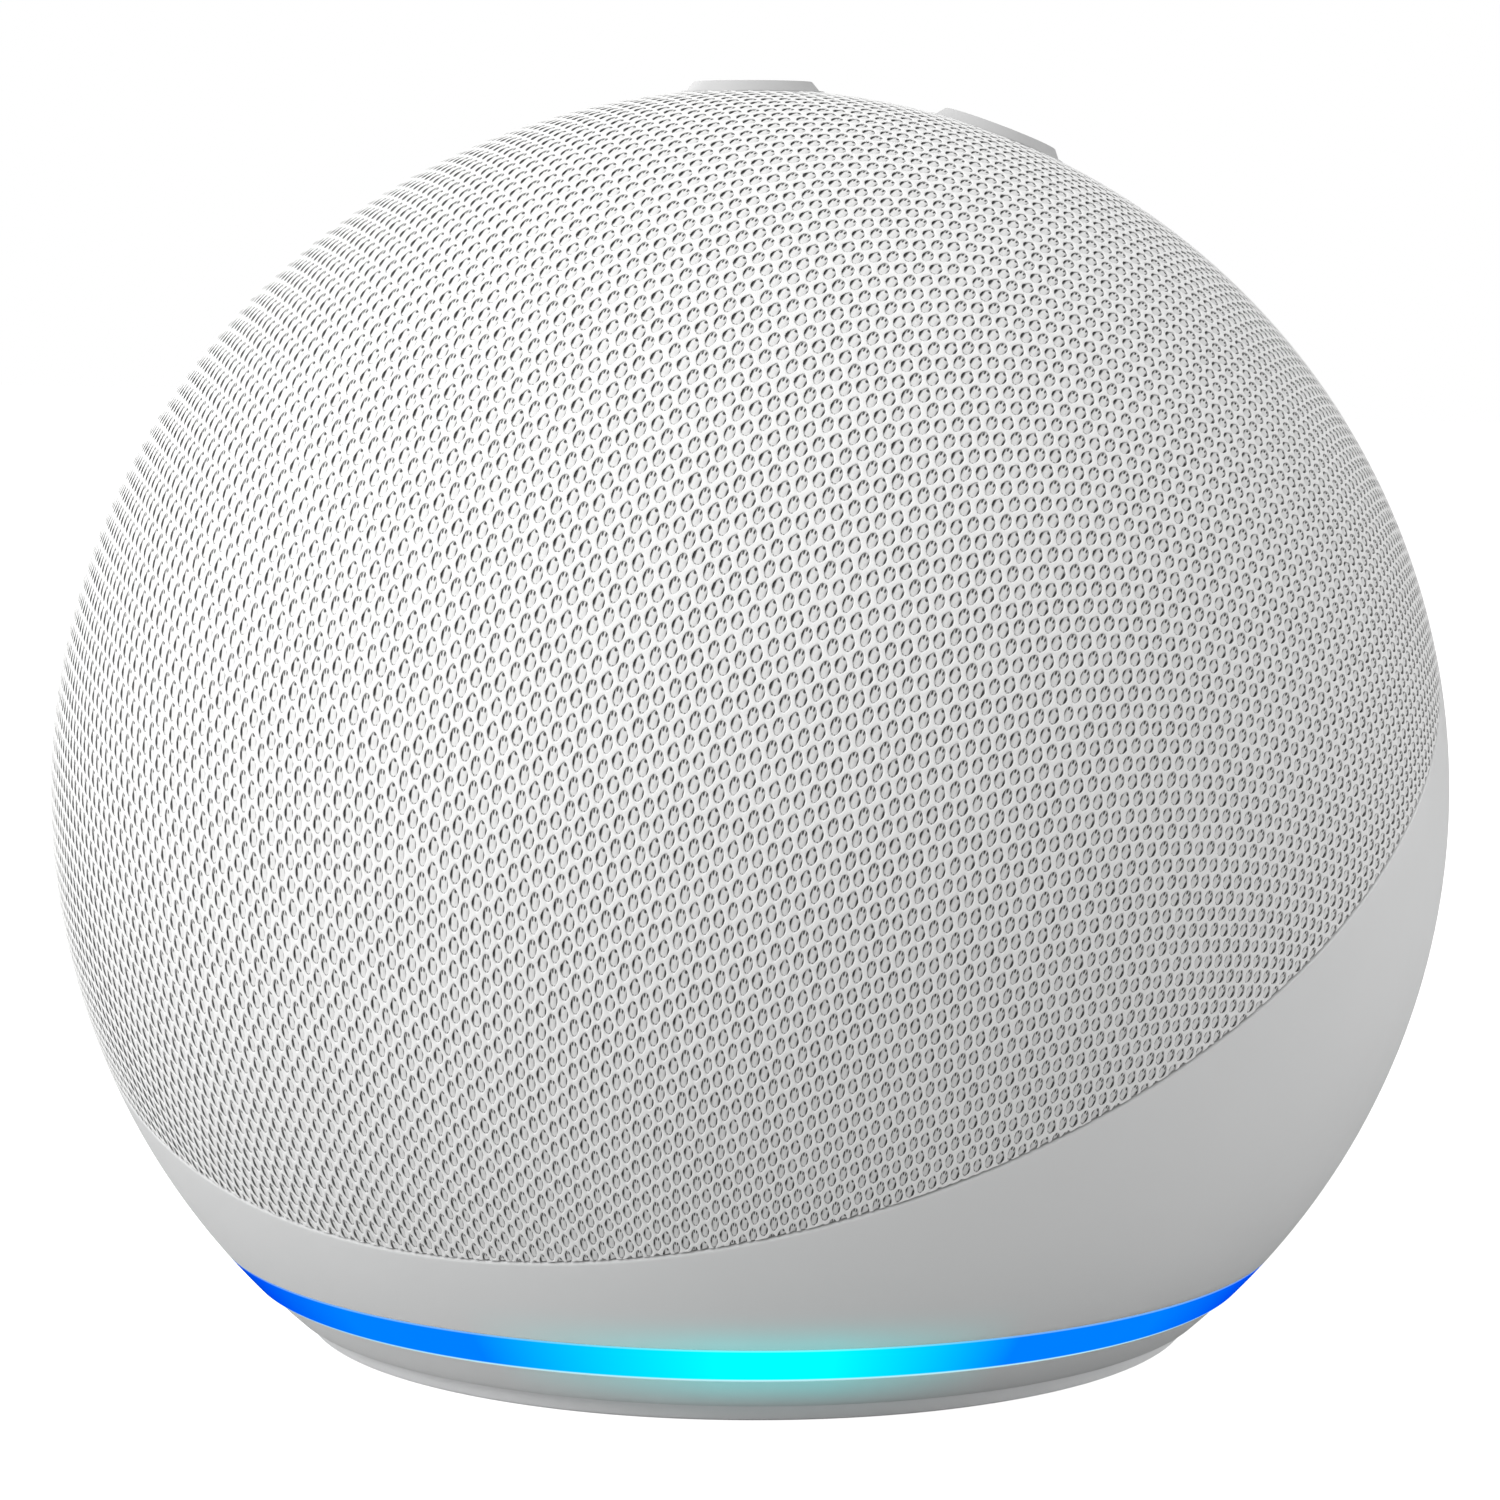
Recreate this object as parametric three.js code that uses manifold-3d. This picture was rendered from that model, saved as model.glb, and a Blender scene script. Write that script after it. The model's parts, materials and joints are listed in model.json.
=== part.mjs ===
// Spherical smart speaker, in millimetres. The flat foot stands on z = 0 and the front faces -Y.
import * as THREE from 'three';
import { mergeVertices } from 'three/addons/utils/BufferGeometryUtils.js';
import Module from 'manifold-3d';

const wasm = await Module();
wasm.setup();

// ---------- driving dimensions ----------

const SPHERE_R = 50;                 // outside of the knit and of the plastic shell
const CENTRE_Z = 38.4;               // height of the sphere's centre: the foot cuts the sphere there
const COVER_TILT = 31.4;              // the knit's edge is a great circle tilted forward by this angle
const GAP = 0.3;                     // clearance between neighbouring pieces

const KNIT_WALL = 0.6;
const GRILLE_WALL = 1.6;
const SHELL_WALL = 2.6;

const RING_TOP = 6.3;                // light ring, heights above the table
const RING_BOTTOM = 3.75;
const RING_INNER_R = 33.4;
const COLLAR_TOP = RING_BOTTOM - GAP;
const COLLAR_BOTTOM = 1.3;
const COLLAR_STEP = 0.3;             // the collar stands in from the sphere by this much
const FOOT_TOP = COLLAR_BOTTOM - GAP;
const FOOT_R = 31.9;

const BUTTON_R = 5.1;                // at the knit
const BUTTON_TOP_R = 4.64;
const BUTTON_HEIGHT = 0.5;           // flat top above the sphere, on the button's own axis
const BUTTON_ASIDE = 14.75;          // from the middle of the diamond to the side buttons, seen from above
const BUTTON_AHEAD = 9.5;            // from the middle of the diamond to the front and rear buttons
const BUTTON_TRAVEL = 0.5;           // room under the flange's stem
const FLANGE_R = 5.8;

const KEYPAD_R = 44.6;               // outer radii of the curved layers under the buttons
const KEYPAD_WALL = 0.5;
const FLEX_R = 42.5;
const FLEX_WALL = 0.3;
const SUPPORT_R = 41.6;
const SUPPORT_WALL = 1.6;
const LAYER_REACH = 19.5;            // radius of the layers about the middle of the diamond
const STEM_END = KEYPAD_R + BUTTON_TRAVEL + 0.2;

const DRIVER_TILT = 20;              // the loudspeaker looks forward and up by this angle
const CHAMBER_R = 24;
const CHAMBER_WALL = 1.6;
const CHAMBER_BACK = -8;             // along the loudspeaker's axis, from the sphere's centre
const BAFFLE_BACK = 33.4;
const BAFFLE_FRONT = 35.4;
const FLANGE_BACK = 30.6;
const FLANGE_FRONT = 32.1;
const SCREW_CIRCLE = 20.2;

const CHASSIS_BOTTOM = 6.9;
const CHASSIS_TOP = 8.4;
const CHASSIS_R = 33.5;
const POST_CIRCLE = 20;
const POST_BOTTOM = 4.1;             // the posts stop just above the collar's bosses
const BOARD_BOTTOM = 9.4;
const BOARD_TOP = 10.8;

const INLET_Z = 13.5;                // axis of the power inlet in the back
const INLET_RECESS_R = 5.2;
const INLET_FLOOR = 37.7;            // depth of the recess, measured from the middle of the body
const INLET_FLOOR_WALL = 1.3;

const LED_COUNT = 6;
const LED_CIRCLE = 30.6;

const ROUND = 48;                    // facets round the outside of the body
const MIDDLE = 32;                   // facets round its inner surfaces and the large inner pieces
const FINE = 24;                     // facets round a small turned piece

// ---------- materials ----------

function finish(color, roughness, metalness = 0) {
  return new THREE.MeshStandardMaterial({ color, roughness, metalness });
}

const knitWhite = finish(0xd9d9d8, 0.95);
const shellGrey = finish(0xc9cac9, 0.38);
const grilleGrey = finish(0x8f9192, 0.6);
const buttonGrey = finish(0xd4d4d4, 0.35);
const diffuserBlue = finish(0x1080ff, 0.3);
const collarGrey = finish(0xc4c5c5, 0.4);
const footRubber = finish(0xb9babb, 0.85);
const siliconeWhite = finish(0xe4e4e0, 0.7);
const blackPlastic = finish(0x1c1d1f, 0.5);
const whitePlastic = finish(0xeceeef, 0.45);
const boardGreen = finish(0x1f5a3a, 0.55);
const flexAmber = finish(0xb9752a, 0.5);
const steel = finish(0xb4b7ba, 0.3, 1);
const darkSteel = finish(0x5b5e62, 0.35, 1);
const aluminium = finish(0xc2c5c8, 0.4, 1);
const copper = finish(0xb87333, 0.35, 1);
const ferrite = finish(0x2b2b2d, 0.6);
const coneBlack = finish(0x26272a, 0.8);
const rubberBlack = finish(0x17181a, 0.7);
const foamGrey = finish(0x4a4b4d, 0.95);
const spiderYellow = finish(0xc9a24b, 0.9);
const padGrey = finish(0x8c9aa6, 0.8);
const ledCream = finish(0xf4efcf, 0.4);
const leadRed = finish(0xa32020, 0.5);

// ---------- helpers ----------

const speaker = new THREE.Group();
const centre = new THREE.Vector3(0, 0, CENTRE_Z);
const up = new THREE.Vector3(0, 0, 1);
const tilt = THREE.MathUtils.degToRad(COVER_TILT);
const coverAxis = new THREE.Vector3(0, -Math.sin(tilt), Math.cos(tilt));

function add(name, geometry, material, parent = speaker) {
  const mesh = new THREE.Mesh(geometry, material);
  mesh.name = name;
  parent.add(mesh);
  return mesh;
}

function solid(geometry) {
  const bare = geometry.clone();
  bare.deleteAttribute('normal');
  bare.deleteAttribute('uv');
  const merged = mergeVertices(bare, 1e-5);
  const vertProperties = new Float32Array(merged.attributes.position.array);
  const triVerts = new Uint32Array(merged.index.array);
  return new wasm.Manifold(new wasm.Mesh({ numProp: 3, vertProperties, triVerts }));
}

function geometryOf(manifold) {
  const mesh = manifold.getMesh();
  const geometry = new THREE.BufferGeometry();
  geometry.setAttribute('position', new THREE.BufferAttribute(mesh.vertProperties, 3));
  geometry.setIndex(new THREE.BufferAttribute(mesh.triVerts, 1));
  const flat = geometry.toNonIndexed();
  flat.computeVertexNormals();
  return flat;
}

// A body of revolution about +Z from points [radius, height], in order round the section.
function turned(points, segments = FINE) {
  const closed = [...points];
  if (points[0][0] > 0) closed.push(points[0]);
  const profile = closed.map(([radius, height]) => new THREE.Vector2(radius, height));
  const lathe = new THREE.LatheGeometry(profile, segments);
  lathe.rotateX(Math.PI / 2);
  return lathe;
}

function ring(inner, outer, bottom, top, segments = FINE) {
  return turned([[inner, bottom], [outer, bottom], [outer, top], [inner, top]], segments);
}

function disc(radius, bottom, top, segments = FINE) {
  return turned([[0, bottom], [radius, bottom], [radius, top], [0, top]], segments);
}

function box(width, depth, height, x, y, bottom) {
  return new THREE.BoxGeometry(width, depth, height).translate(x, y, bottom + height / 2);
}

function ball(radius, segments = ROUND) {
  const sphere = new THREE.SphereGeometry(radius, segments, segments / 2);
  sphere.rotateX(Math.PI / 2);
  sphere.translate(0, 0, CENTRE_Z);
  return solid(sphere);
}

// Radius of a horizontal slice of a ball about the sphere's centre.
function sliceRadius(ballRadius, height) {
  return Math.sqrt(ballRadius ** 2 - (height - CENTRE_Z) ** 2);
}

// Stands geometry made about +Z on the sphere's centre, with its own +Z along the direction given.
function aimed(geometry, direction) {
  const turn = new THREE.Quaternion().setFromUnitVectors(up, direction);
  return geometry.clone().applyQuaternion(turn).translate(0, 0, CENTRE_Z);
}

function above(manifold, axis, offset) {
  return manifold.trimByPlane([axis.x, axis.y, axis.z], axis.dot(centre) + offset);
}

// ---------- buttons ----------

function buttonDirection(x, y) {
  return new THREE.Vector3(x, y, Math.sqrt(SPHERE_R ** 2 - x ** 2 - y ** 2)).normalize();
}

const buttons = [
  { name: 'front', direction: buttonDirection(0, 0) },
  { name: 'right', direction: buttonDirection(BUTTON_ASIDE, BUTTON_AHEAD) },
  { name: 'rear', direction: buttonDirection(0, 2 * BUTTON_AHEAD) },
  { name: 'left', direction: buttonDirection(-BUTTON_ASIDE, BUTTON_AHEAD) },
];
const clusterAxis = buttonDirection(0, BUTTON_AHEAD);

const capProfile = [
  [0, STEM_END],
  [1.5, STEM_END],
  [1.5, 45.6],
  [FLANGE_R, 45.6],
  [FLANGE_R, 46.1],
  [BUTTON_R - 0.1, 46.1],
  [BUTTON_R, SPHERE_R - 0.2],
  [BUTTON_TOP_R, SPHERE_R + BUTTON_HEIGHT - 0.1],
  [BUTTON_TOP_R - 0.25, SPHERE_R + BUTTON_HEIGHT],
  [0, SPHERE_R + BUTTON_HEIGHT],
];

function throughButtons(manifold, radius) {
  const bore = disc(radius, 40, 55, 16);
  return buttons.reduce((rest, button) => rest.subtract(solid(aimed(bore, button.direction))), manifold);
}

for (const button of buttons) {
  add(`button_${button.name}`, aimed(turned(capProfile), button.direction), buttonGrey);
  add(`dome_switch_${button.name}`, aimed(disc(2.4, 42.8, 43.4, 12), button.direction), steel);
}

// ---------- knit cover and the grille that carries it ----------

const boreR = BUTTON_R + GAP + 0.1;
const knitInner = SPHERE_R - KNIT_WALL;
const grilleOuter = knitInner - 2 * GAP;
const grilleInner = grilleOuter - GRILLE_WALL;

const knit = above(ball(SPHERE_R).subtract(ball(knitInner, MIDDLE)), coverAxis, GAP / 2);
add('knit_cover', geometryOf(throughButtons(knit, boreR)), knitWhite);

const driverTilt = THREE.MathUtils.degToRad(DRIVER_TILT);
const driverAxis = new THREE.Vector3(0, -Math.cos(driverTilt), Math.sin(driverTilt));
const driverTurn = new THREE.Quaternion().setFromUnitVectors(up, driverAxis);

// Sound holes lie in rings round the loudspeaker's axis.
function soundHoles() {
  const holeR = 2.2;
  const ringStep = THREE.MathUtils.degToRad(11);
  const hole = disc(holeR, 44, 53, 6);
  const holes = [solid(aimed(hole, driverAxis))];
  for (let ringIndex = 1; ringIndex <= 2; ringIndex += 1) {
    const count = 6 * ringIndex;
    const lean = ringIndex * ringStep;
    for (let index = 0; index < count; index += 1) {
      const angle = (2 * Math.PI * index) / count;
      const direction = new THREE.Vector3().setFromSphericalCoords(1, lean, angle);
      direction.applyAxisAngle(new THREE.Vector3(1, 0, 0), Math.PI / 2).applyQuaternion(driverTurn);
      holes.push(solid(aimed(hole, direction)));
    }
  }
  return wasm.Manifold.union(holes);
}

const grilleDome = above(ball(grilleOuter, MIDDLE).subtract(ball(grilleInner, MIDDLE)), coverAxis, GAP / 2);
const grille = throughButtons(grilleDome, boreR).subtract(soundHoles());
add('grille_dome', geometryOf(grille), grilleGrey);

// ---------- lower shell with the recess for the power inlet ----------

function alongBack(radius, from, to, segments = FINE) {
  return disc(radius, from, to, segments).rotateX(-Math.PI / 2).translate(0, 0, INLET_Z);
}

const below = coverAxis.clone().negate();
const hull = ball(SPHERE_R).subtract(ball(SPHERE_R - SHELL_WALL, MIDDLE));
const openShell = above(hull, below, GAP / 2).trimByPlane([0, 0, 1], RING_TOP + GAP);
const recessBlock = solid(alongBack(INLET_RECESS_R + 1.6, INLET_FLOOR - INLET_FLOOR_WALL, 47));
const recess = solid(alongBack(INLET_RECESS_R, INLET_FLOOR, 55));
const inletHole = solid(alongBack(3.6, 30, 45));
const recessWall = recessBlock.intersect(ball(SPHERE_R - 0.5));
const lowerShell = openShell.add(recessWall).subtract(recess).subtract(inletHole);
add('lower_shell', geometryOf(lowerShell), shellGrey);

// ---------- light ring, collar and foot ----------

function sphereArc(bottom, top, steps, inset = 0) {
  const points = [];
  for (let index = 0; index <= steps; index += 1) {
    const height = bottom + ((top - bottom) * index) / steps;
    points.push([sliceRadius(SPHERE_R, height) - inset, height]);
  }
  return points;
}

const ringArc = sphereArc(RING_BOTTOM, RING_TOP, 2);
add('light_ring', turned([[RING_INNER_R, RING_BOTTOM], ...ringArc, [RING_INNER_R, RING_TOP]], ROUND), diffuserBlue);

const postAngles = [45, 135, 225, 315].map((angle) => THREE.MathUtils.degToRad(angle));

function atPosts(geometry, circle = POST_CIRCLE) {
  return postAngles.map((angle) => geometry.clone().translate(circle * Math.cos(angle), circle * Math.sin(angle), 0));
}

const collarArc = sphereArc(COLLAR_BOTTOM, COLLAR_TOP, 1, COLLAR_STEP);
let collar = solid(turned([[0, COLLAR_BOTTOM], ...collarArc, [0, COLLAR_TOP]], ROUND));
for (const boss of atPosts(disc(4, COLLAR_TOP - 0.5, COLLAR_TOP + 0.35, 16))) collar = collar.add(solid(boss));
for (const sink of atPosts(disc(2.8, 0, 2.4, 16))) collar = collar.subtract(solid(sink));
for (const hole of atPosts(disc(1.4, 0, 5, 12))) collar = collar.subtract(solid(hole));
add('bottom_cover', geometryOf(collar), collarGrey);

const footProfile = [[0, 0], [FOOT_R - 0.2, 0], [FOOT_R, 0.2], [FOOT_R, FOOT_TOP], [0, FOOT_TOP]];
add('rubber_foot', turned(footProfile, ROUND), footRubber);

const bottomScrew = turned([[0, 1.4], [2.3, 1.4], [2.3, 2.1], [1.1, 2.1], [1.1, 6], [0, 6]], 12);
atPosts(bottomScrew).forEach((screw, index) => add(`bottom_screw_${index + 1}`, screw, steel));

// ---------- chassis, light ring board and main board ----------

let chassis = solid(disc(CHASSIS_R, CHASSIS_BOTTOM, CHASSIS_TOP, MIDDLE));
for (const post of atPosts(disc(3, POST_BOTTOM, CHASSIS_BOTTOM + 0.5, 16))) chassis = chassis.add(solid(post));
for (const pilot of atPosts(disc(1.4, POST_BOTTOM - 1, 6.5, 12))) chassis = chassis.subtract(solid(pilot));
for (const pad of atPosts(disc(2, CHASSIS_TOP - 0.5, BOARD_BOTTOM - GAP, 12), 24)) chassis = chassis.add(solid(pad));
add('chassis', geometryOf(chassis), blackPlastic);

const lightBoardTop = RING_BOTTOM + 1.25;
add('light_board', ring(26, 32.2, lightBoardTop - 1, lightBoardTop, MIDDLE), boardGreen);
const reflectorBottom = COLLAR_TOP + 0.35;
add('light_reflector', ring(24.3, 25.5, reflectorBottom, CHASSIS_BOTTOM - 0.4, MIDDLE), whitePlastic);
for (let index = 0; index < LED_COUNT; index += 1) {
  const angle = (2 * Math.PI * index) / LED_COUNT - Math.PI / 2;
  const led = box(1.6, 3, 1, LED_CIRCLE, 0, lightBoardTop + GAP).rotateZ(angle);
  add(`ring_led_${index + 1}`, led, ledCream);
}

const boardEdge = 23.8;
const board = solid(disc(29, BOARD_BOTTOM, BOARD_TOP, MIDDLE)).trimByPlane([0, -1, 0], -boardEdge);
add('main_board', geometryOf(board), boardGreen);
add('shield_can_processor', box(17, 13, 2.2, -10, -15, BOARD_TOP + GAP), steel);
add('shield_can_radio', box(13, 11, 1.8, 12, -15, BOARD_TOP + GAP), steel);
add('thermal_pad', box(16, 8, 0.7, 0, 14, BOARD_TOP + GAP), padGrey);

// Heat sink with upright fins.
const sinkBottom = BOARD_TOP + 0.7 + 2 * GAP;
let sink = solid(box(22, 11, 1.6, 0, 14, sinkBottom));
for (let index = 0; index < 6; index += 1) {
  const x = -10 + 4 * index;
  sink = sink.add(solid(box(1, 11, 6.5, x, 14, sinkBottom)));
}
add('heat_sink', geometryOf(sink), aluminium);

// ---------- power inlet ----------

const jackFront = INLET_FLOOR - INLET_FLOOR_WALL - GAP;
const jackDepth = 12;
const jackBody = solid(box(9, jackDepth, 9, 0, jackFront - jackDepth / 2, INLET_Z - 4.5));
const jackBore = solid(alongBack(3.2, jackFront - 9, 50, 16));
const jackPin = solid(alongBack(0.85, jackFront - 10, jackFront - 0.5, 8));
add('power_inlet', geometryOf(jackBody.subtract(jackBore).add(jackPin)), blackPlastic);

// ---------- curved layers under the buttons ----------

function layer(outer, wall, reach) {
  const dome = ball(outer, MIDDLE).subtract(ball(outer - wall, MIDDLE));
  return dome.intersect(solid(aimed(disc(reach, 20, 60), clusterAxis)));
}

add('keypad', geometryOf(layer(KEYPAD_R, KEYPAD_WALL, LAYER_REACH)), siliconeWhite);
add('button_flex', geometryOf(layer(FLEX_R, FLEX_WALL, LAYER_REACH - 1)), flexAmber);
add('button_support', geometryOf(layer(SUPPORT_R, SUPPORT_WALL, LAYER_REACH)), blackPlastic);

for (const side of [-1, 1]) {
  const direction = buttonDirection((side * BUTTON_ASIDE) / 2, BUTTON_AHEAD / 2);
  const name = side < 0 ? 'microphone_left' : 'microphone_right';
  add(name, aimed(box(3, 2.2, 0.7, 0, 0, 42.8), direction), steel);
}

// ---------- loudspeaker, built about +Z and aimed forward and up ----------

const driver = new THREE.Group();
driver.position.copy(centre);
driver.quaternion.copy(driverTurn);
speaker.add(driver);

function atScrews(geometry) {
  return postAngles.map((angle) => {
    const x = SCREW_CIRCLE * Math.cos(angle);
    const y = SCREW_CIRCLE * Math.sin(angle);
    return geometry.clone().translate(x, y, 0);
  });
}

function drilled(geometry, from, to) {
  const holes = atScrews(disc(1.2, from, to, 8)).map(solid);
  return geometryOf(holes.reduce((rest, hole) => rest.subtract(hole), solid(geometry)));
}

const baffle = ring(18.6, 27, BAFFLE_BACK, BAFFLE_FRONT);
add('front_baffle', drilled(baffle, BAFFLE_BACK - 1, BAFFLE_FRONT - 0.8), blackPlastic, driver);
const gasket = ring(18.8, 21.8, FLANGE_FRONT + 0.2, BAFFLE_BACK - GAP);
add('driver_gasket', drilled(gasket, FLANGE_FRONT - 1, BAFFLE_BACK + 1), foamGrey, driver);

const basketProfile = [
  [9, 20.1],
  [14.6, 20.1],
  [18, 30],
  [18, FLANGE_BACK],
  [22, FLANGE_BACK],
  [22, FLANGE_FRONT],
  [16.9, FLANGE_FRONT],
  [16.9, 30.2],
  [13.7, 21],
  [9, 21],
];
add('driver_basket', drilled(turned(basketProfile), FLANGE_BACK - 0.2, FLANGE_FRONT + 1), darkSteel, driver);

// A half roll of rubber between the basket and the cone.
function rollProfile(middle, base, radius, wall, steps) {
  const points = [];
  for (let index = 0; index <= steps; index += 1) {
    const angle = Math.PI * (1 - index / steps);
    points.push([middle + radius * Math.cos(angle), base + radius * Math.sin(angle)]);
  }
  for (let index = 0; index <= steps; index += 1) {
    const angle = (Math.PI * index) / steps;
    points.push([middle + (radius - wall) * Math.cos(angle), base + (radius - wall) * Math.sin(angle)]);
  }
  return points.reverse();
}

add('surround', turned(rollProfile(16.4, 32.4, 1.5, 0.45, 4)), rubberBlack, driver);

const coneProfile = [[7.6, 26.2], [14.5, 32], [14.5, 32.6], [7.6, 26.8]];
add('cone', turned(coneProfile), coneBlack, driver);
const capDome = [[0, 29.2], [3, 28.9], [5.6, 28.1], [7.2, 26.8], [7.2, 26.4], [5.4, 27.6], [3, 28.4], [0, 28.7]];
add('dust_cap', turned([...capDome].reverse()), coneBlack, driver);
add('voice_coil', ring(6.9, 7.3, 18.5, 26, FINE), copper, driver);

const spiderProfile = [
  [7.8, 22.3],
  [9.2, 22.9],
  [10.6, 22.3],
  [12, 22.9],
  [13.3, 22.3],
  [13.3, 22.7],
  [12, 23.3],
  [10.6, 22.7],
  [9.2, 23.3],
  [7.8, 22.7],
];
add('spider', turned(spiderProfile), spiderYellow, driver);
add('top_plate', ring(7.8, 14.2, 18, 19.8), steel, driver);
add('magnet', ring(8.6, 13.6, 14.7, 17.7), ferrite, driver);
add('yoke', turned([[0, 12.6], [14.2, 12.6], [14.2, 14.4], [6.5, 14.4], [6.5, 19.8], [0, 19.8]]), steel, driver);

const driverScrew = turned([[0, 29.1], [1.6, 29.1], [1.6, 30.3], [0.85, 30.3], [0.85, 34.2], [0, 34.2]], 8);
atScrews(driverScrew).forEach((screw, index) => add(`driver_screw_${index + 1}`, screw, steel, driver));

const chamberFront = BAFFLE_BACK - GAP;
const chamberProfile = [
  [0, CHAMBER_BACK],
  [CHAMBER_R, CHAMBER_BACK],
  [CHAMBER_R, chamberFront],
  [CHAMBER_R - CHAMBER_WALL, chamberFront],
  [CHAMBER_R - CHAMBER_WALL, CHAMBER_BACK + CHAMBER_WALL],
  [0, CHAMBER_BACK + CHAMBER_WALL],
];
const leadHole = disc(3.6, CHAMBER_BACK - 5, CHAMBER_BACK + 5, 16).translate(0, -14, 0);
const chamber = solid(turned(chamberProfile, MIDDLE)).subtract(solid(leadHole));
add('rear_chamber', geometryOf(chamber), blackPlastic, driver);

// ---------- leads, ribbon and antennas ----------

function lead(points, radius) {
  const section = new THREE.Shape();
  section.absarc(0, 0, radius, 0, 2 * Math.PI, false);
  const path = new THREE.CatmullRomCurve3(points.map(([x, y, z]) => new THREE.Vector3(x, y, z)));
  return new THREE.ExtrudeGeometry(section, { steps: 12, curveSegments: 4, bevelEnabled: false, extrudePath: path });
}

for (const side of [-1, 1]) {
  const x = side * 1.4;
  const route = [[x, 6, 11.3], [x, 6.4, 16], [x, 5.4, 20.6], [x, 2.7, 22.5], [x, -3, 24.4], [x, -11, 26], [x, -17.5, 27]];
  add(side < 0 ? 'speaker_lead_negative' : 'speaker_lead_positive', lead(route, 0.6), side < 0 ? blackPlastic : leadRed);
}

// Flat ribbon from the button circuit down the back to the main board.
function ribbonGeometry(points, thickness, width, x) {
  const curve = new THREE.CatmullRomCurve3(points.map(([y, z]) => new THREE.Vector3(y, z, 0)));
  const steps = 20;
  const outside = [];
  const inside = [];
  for (let index = 0; index <= steps; index += 1) {
    const point = curve.getPointAt(index / steps);
    const along = curve.getTangentAt(index / steps);
    const across = new THREE.Vector2(-along.y, along.x).multiplyScalar(thickness / 2);
    outside.push(new THREE.Vector2(point.x + across.x, point.y + across.y));
    inside.push(new THREE.Vector2(point.x - across.x, point.y - across.y));
  }
  const outline = new THREE.Shape([...outside, ...inside.reverse()]);
  const band = new THREE.ExtrudeGeometry(outline, { depth: width, bevelEnabled: false });
  band.applyMatrix4(new THREE.Matrix4().makeBasis(new THREE.Vector3(0, 1, 0), up, new THREE.Vector3(1, 0, 0)));
  return band.translate(x - width / 2, 0, 0);
}

const ribbonRoute = [[25, 71.8], [28.5, 68.2], [34, 60], [38, 48], [38, 34], [33, 22], [27, 15], [22, 11.4]];
add('button_ribbon', ribbonGeometry(ribbonRoute, 0.3, 8, 14), flexAmber);

for (const side of [-1, 1]) {
  const name = side < 0 ? 'antenna_left' : 'antenna_right';
  add(name, box(0.8, 18, 8, side * 32, 15, 24), boardGreen);
}

export default speaker;
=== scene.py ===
"""Visual model of a spherical smart speaker, built round its CAD frame.

Metres, +Z up, the front facing -Y."""
import json
import math

import bmesh
import bpy
import numpy as np
from mathutils import Matrix, Vector


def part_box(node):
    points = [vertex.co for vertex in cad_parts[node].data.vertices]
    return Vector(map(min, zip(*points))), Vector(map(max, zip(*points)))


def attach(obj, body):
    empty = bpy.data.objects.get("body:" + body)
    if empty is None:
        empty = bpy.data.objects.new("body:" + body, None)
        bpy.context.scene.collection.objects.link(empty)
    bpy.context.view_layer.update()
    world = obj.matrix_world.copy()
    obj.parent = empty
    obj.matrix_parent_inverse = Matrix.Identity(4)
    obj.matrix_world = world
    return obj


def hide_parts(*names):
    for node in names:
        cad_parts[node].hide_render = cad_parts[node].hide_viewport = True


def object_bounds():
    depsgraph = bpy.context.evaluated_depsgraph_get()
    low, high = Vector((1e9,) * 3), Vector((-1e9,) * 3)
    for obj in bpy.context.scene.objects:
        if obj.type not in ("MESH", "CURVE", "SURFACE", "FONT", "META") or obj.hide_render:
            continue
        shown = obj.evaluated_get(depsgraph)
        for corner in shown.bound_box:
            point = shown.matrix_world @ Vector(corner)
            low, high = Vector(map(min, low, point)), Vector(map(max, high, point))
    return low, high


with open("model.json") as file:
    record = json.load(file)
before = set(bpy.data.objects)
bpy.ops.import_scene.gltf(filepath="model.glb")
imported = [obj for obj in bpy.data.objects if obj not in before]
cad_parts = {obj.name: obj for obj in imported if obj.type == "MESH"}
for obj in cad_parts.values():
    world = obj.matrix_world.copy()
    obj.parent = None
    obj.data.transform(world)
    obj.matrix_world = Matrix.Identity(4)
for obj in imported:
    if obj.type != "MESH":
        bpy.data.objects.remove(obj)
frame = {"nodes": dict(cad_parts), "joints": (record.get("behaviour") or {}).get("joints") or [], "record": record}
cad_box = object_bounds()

MM = 0.001

# ---- sizes, from the frame where it has them ----

SPHERE_R = (cad_box[1].y - cad_box[0].y) / 2
BUTTON_HEIGHT = 0.5 * MM
CENTRE = Vector((0, 0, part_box("button_front")[1].z - BUTTON_HEIGHT - SPHERE_R))
COVER_TILT = math.radians(31.4)          # the knit's edge is a great circle tilted forward by this angle
COVER_AXIS = Vector((0, -math.sin(COVER_TILT), math.cos(COVER_TILT)))
COVER_RIGHT = Vector((1, 0, 0))
COVER_UP = COVER_AXIS.cross(COVER_RIGHT)

RING_BOTTOM, RING_TOP = (corner.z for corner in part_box("light_ring"))
COLLAR_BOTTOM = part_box("bottom_cover")[0].z
FOOT_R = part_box("rubber_foot")[1].x

SEAM = 0.08 * MM                         # half the slit between the knit and the shell
HAIRLINE = 0.04 * MM                     # slit between the ring and its neighbours
SHELL_WALL = 2.6 * MM
ROUND = 384                              # steps round the body
BUTTON_HOLE_R = 5.22 * MM

# ---- the knit, laid out flat ----

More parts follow.
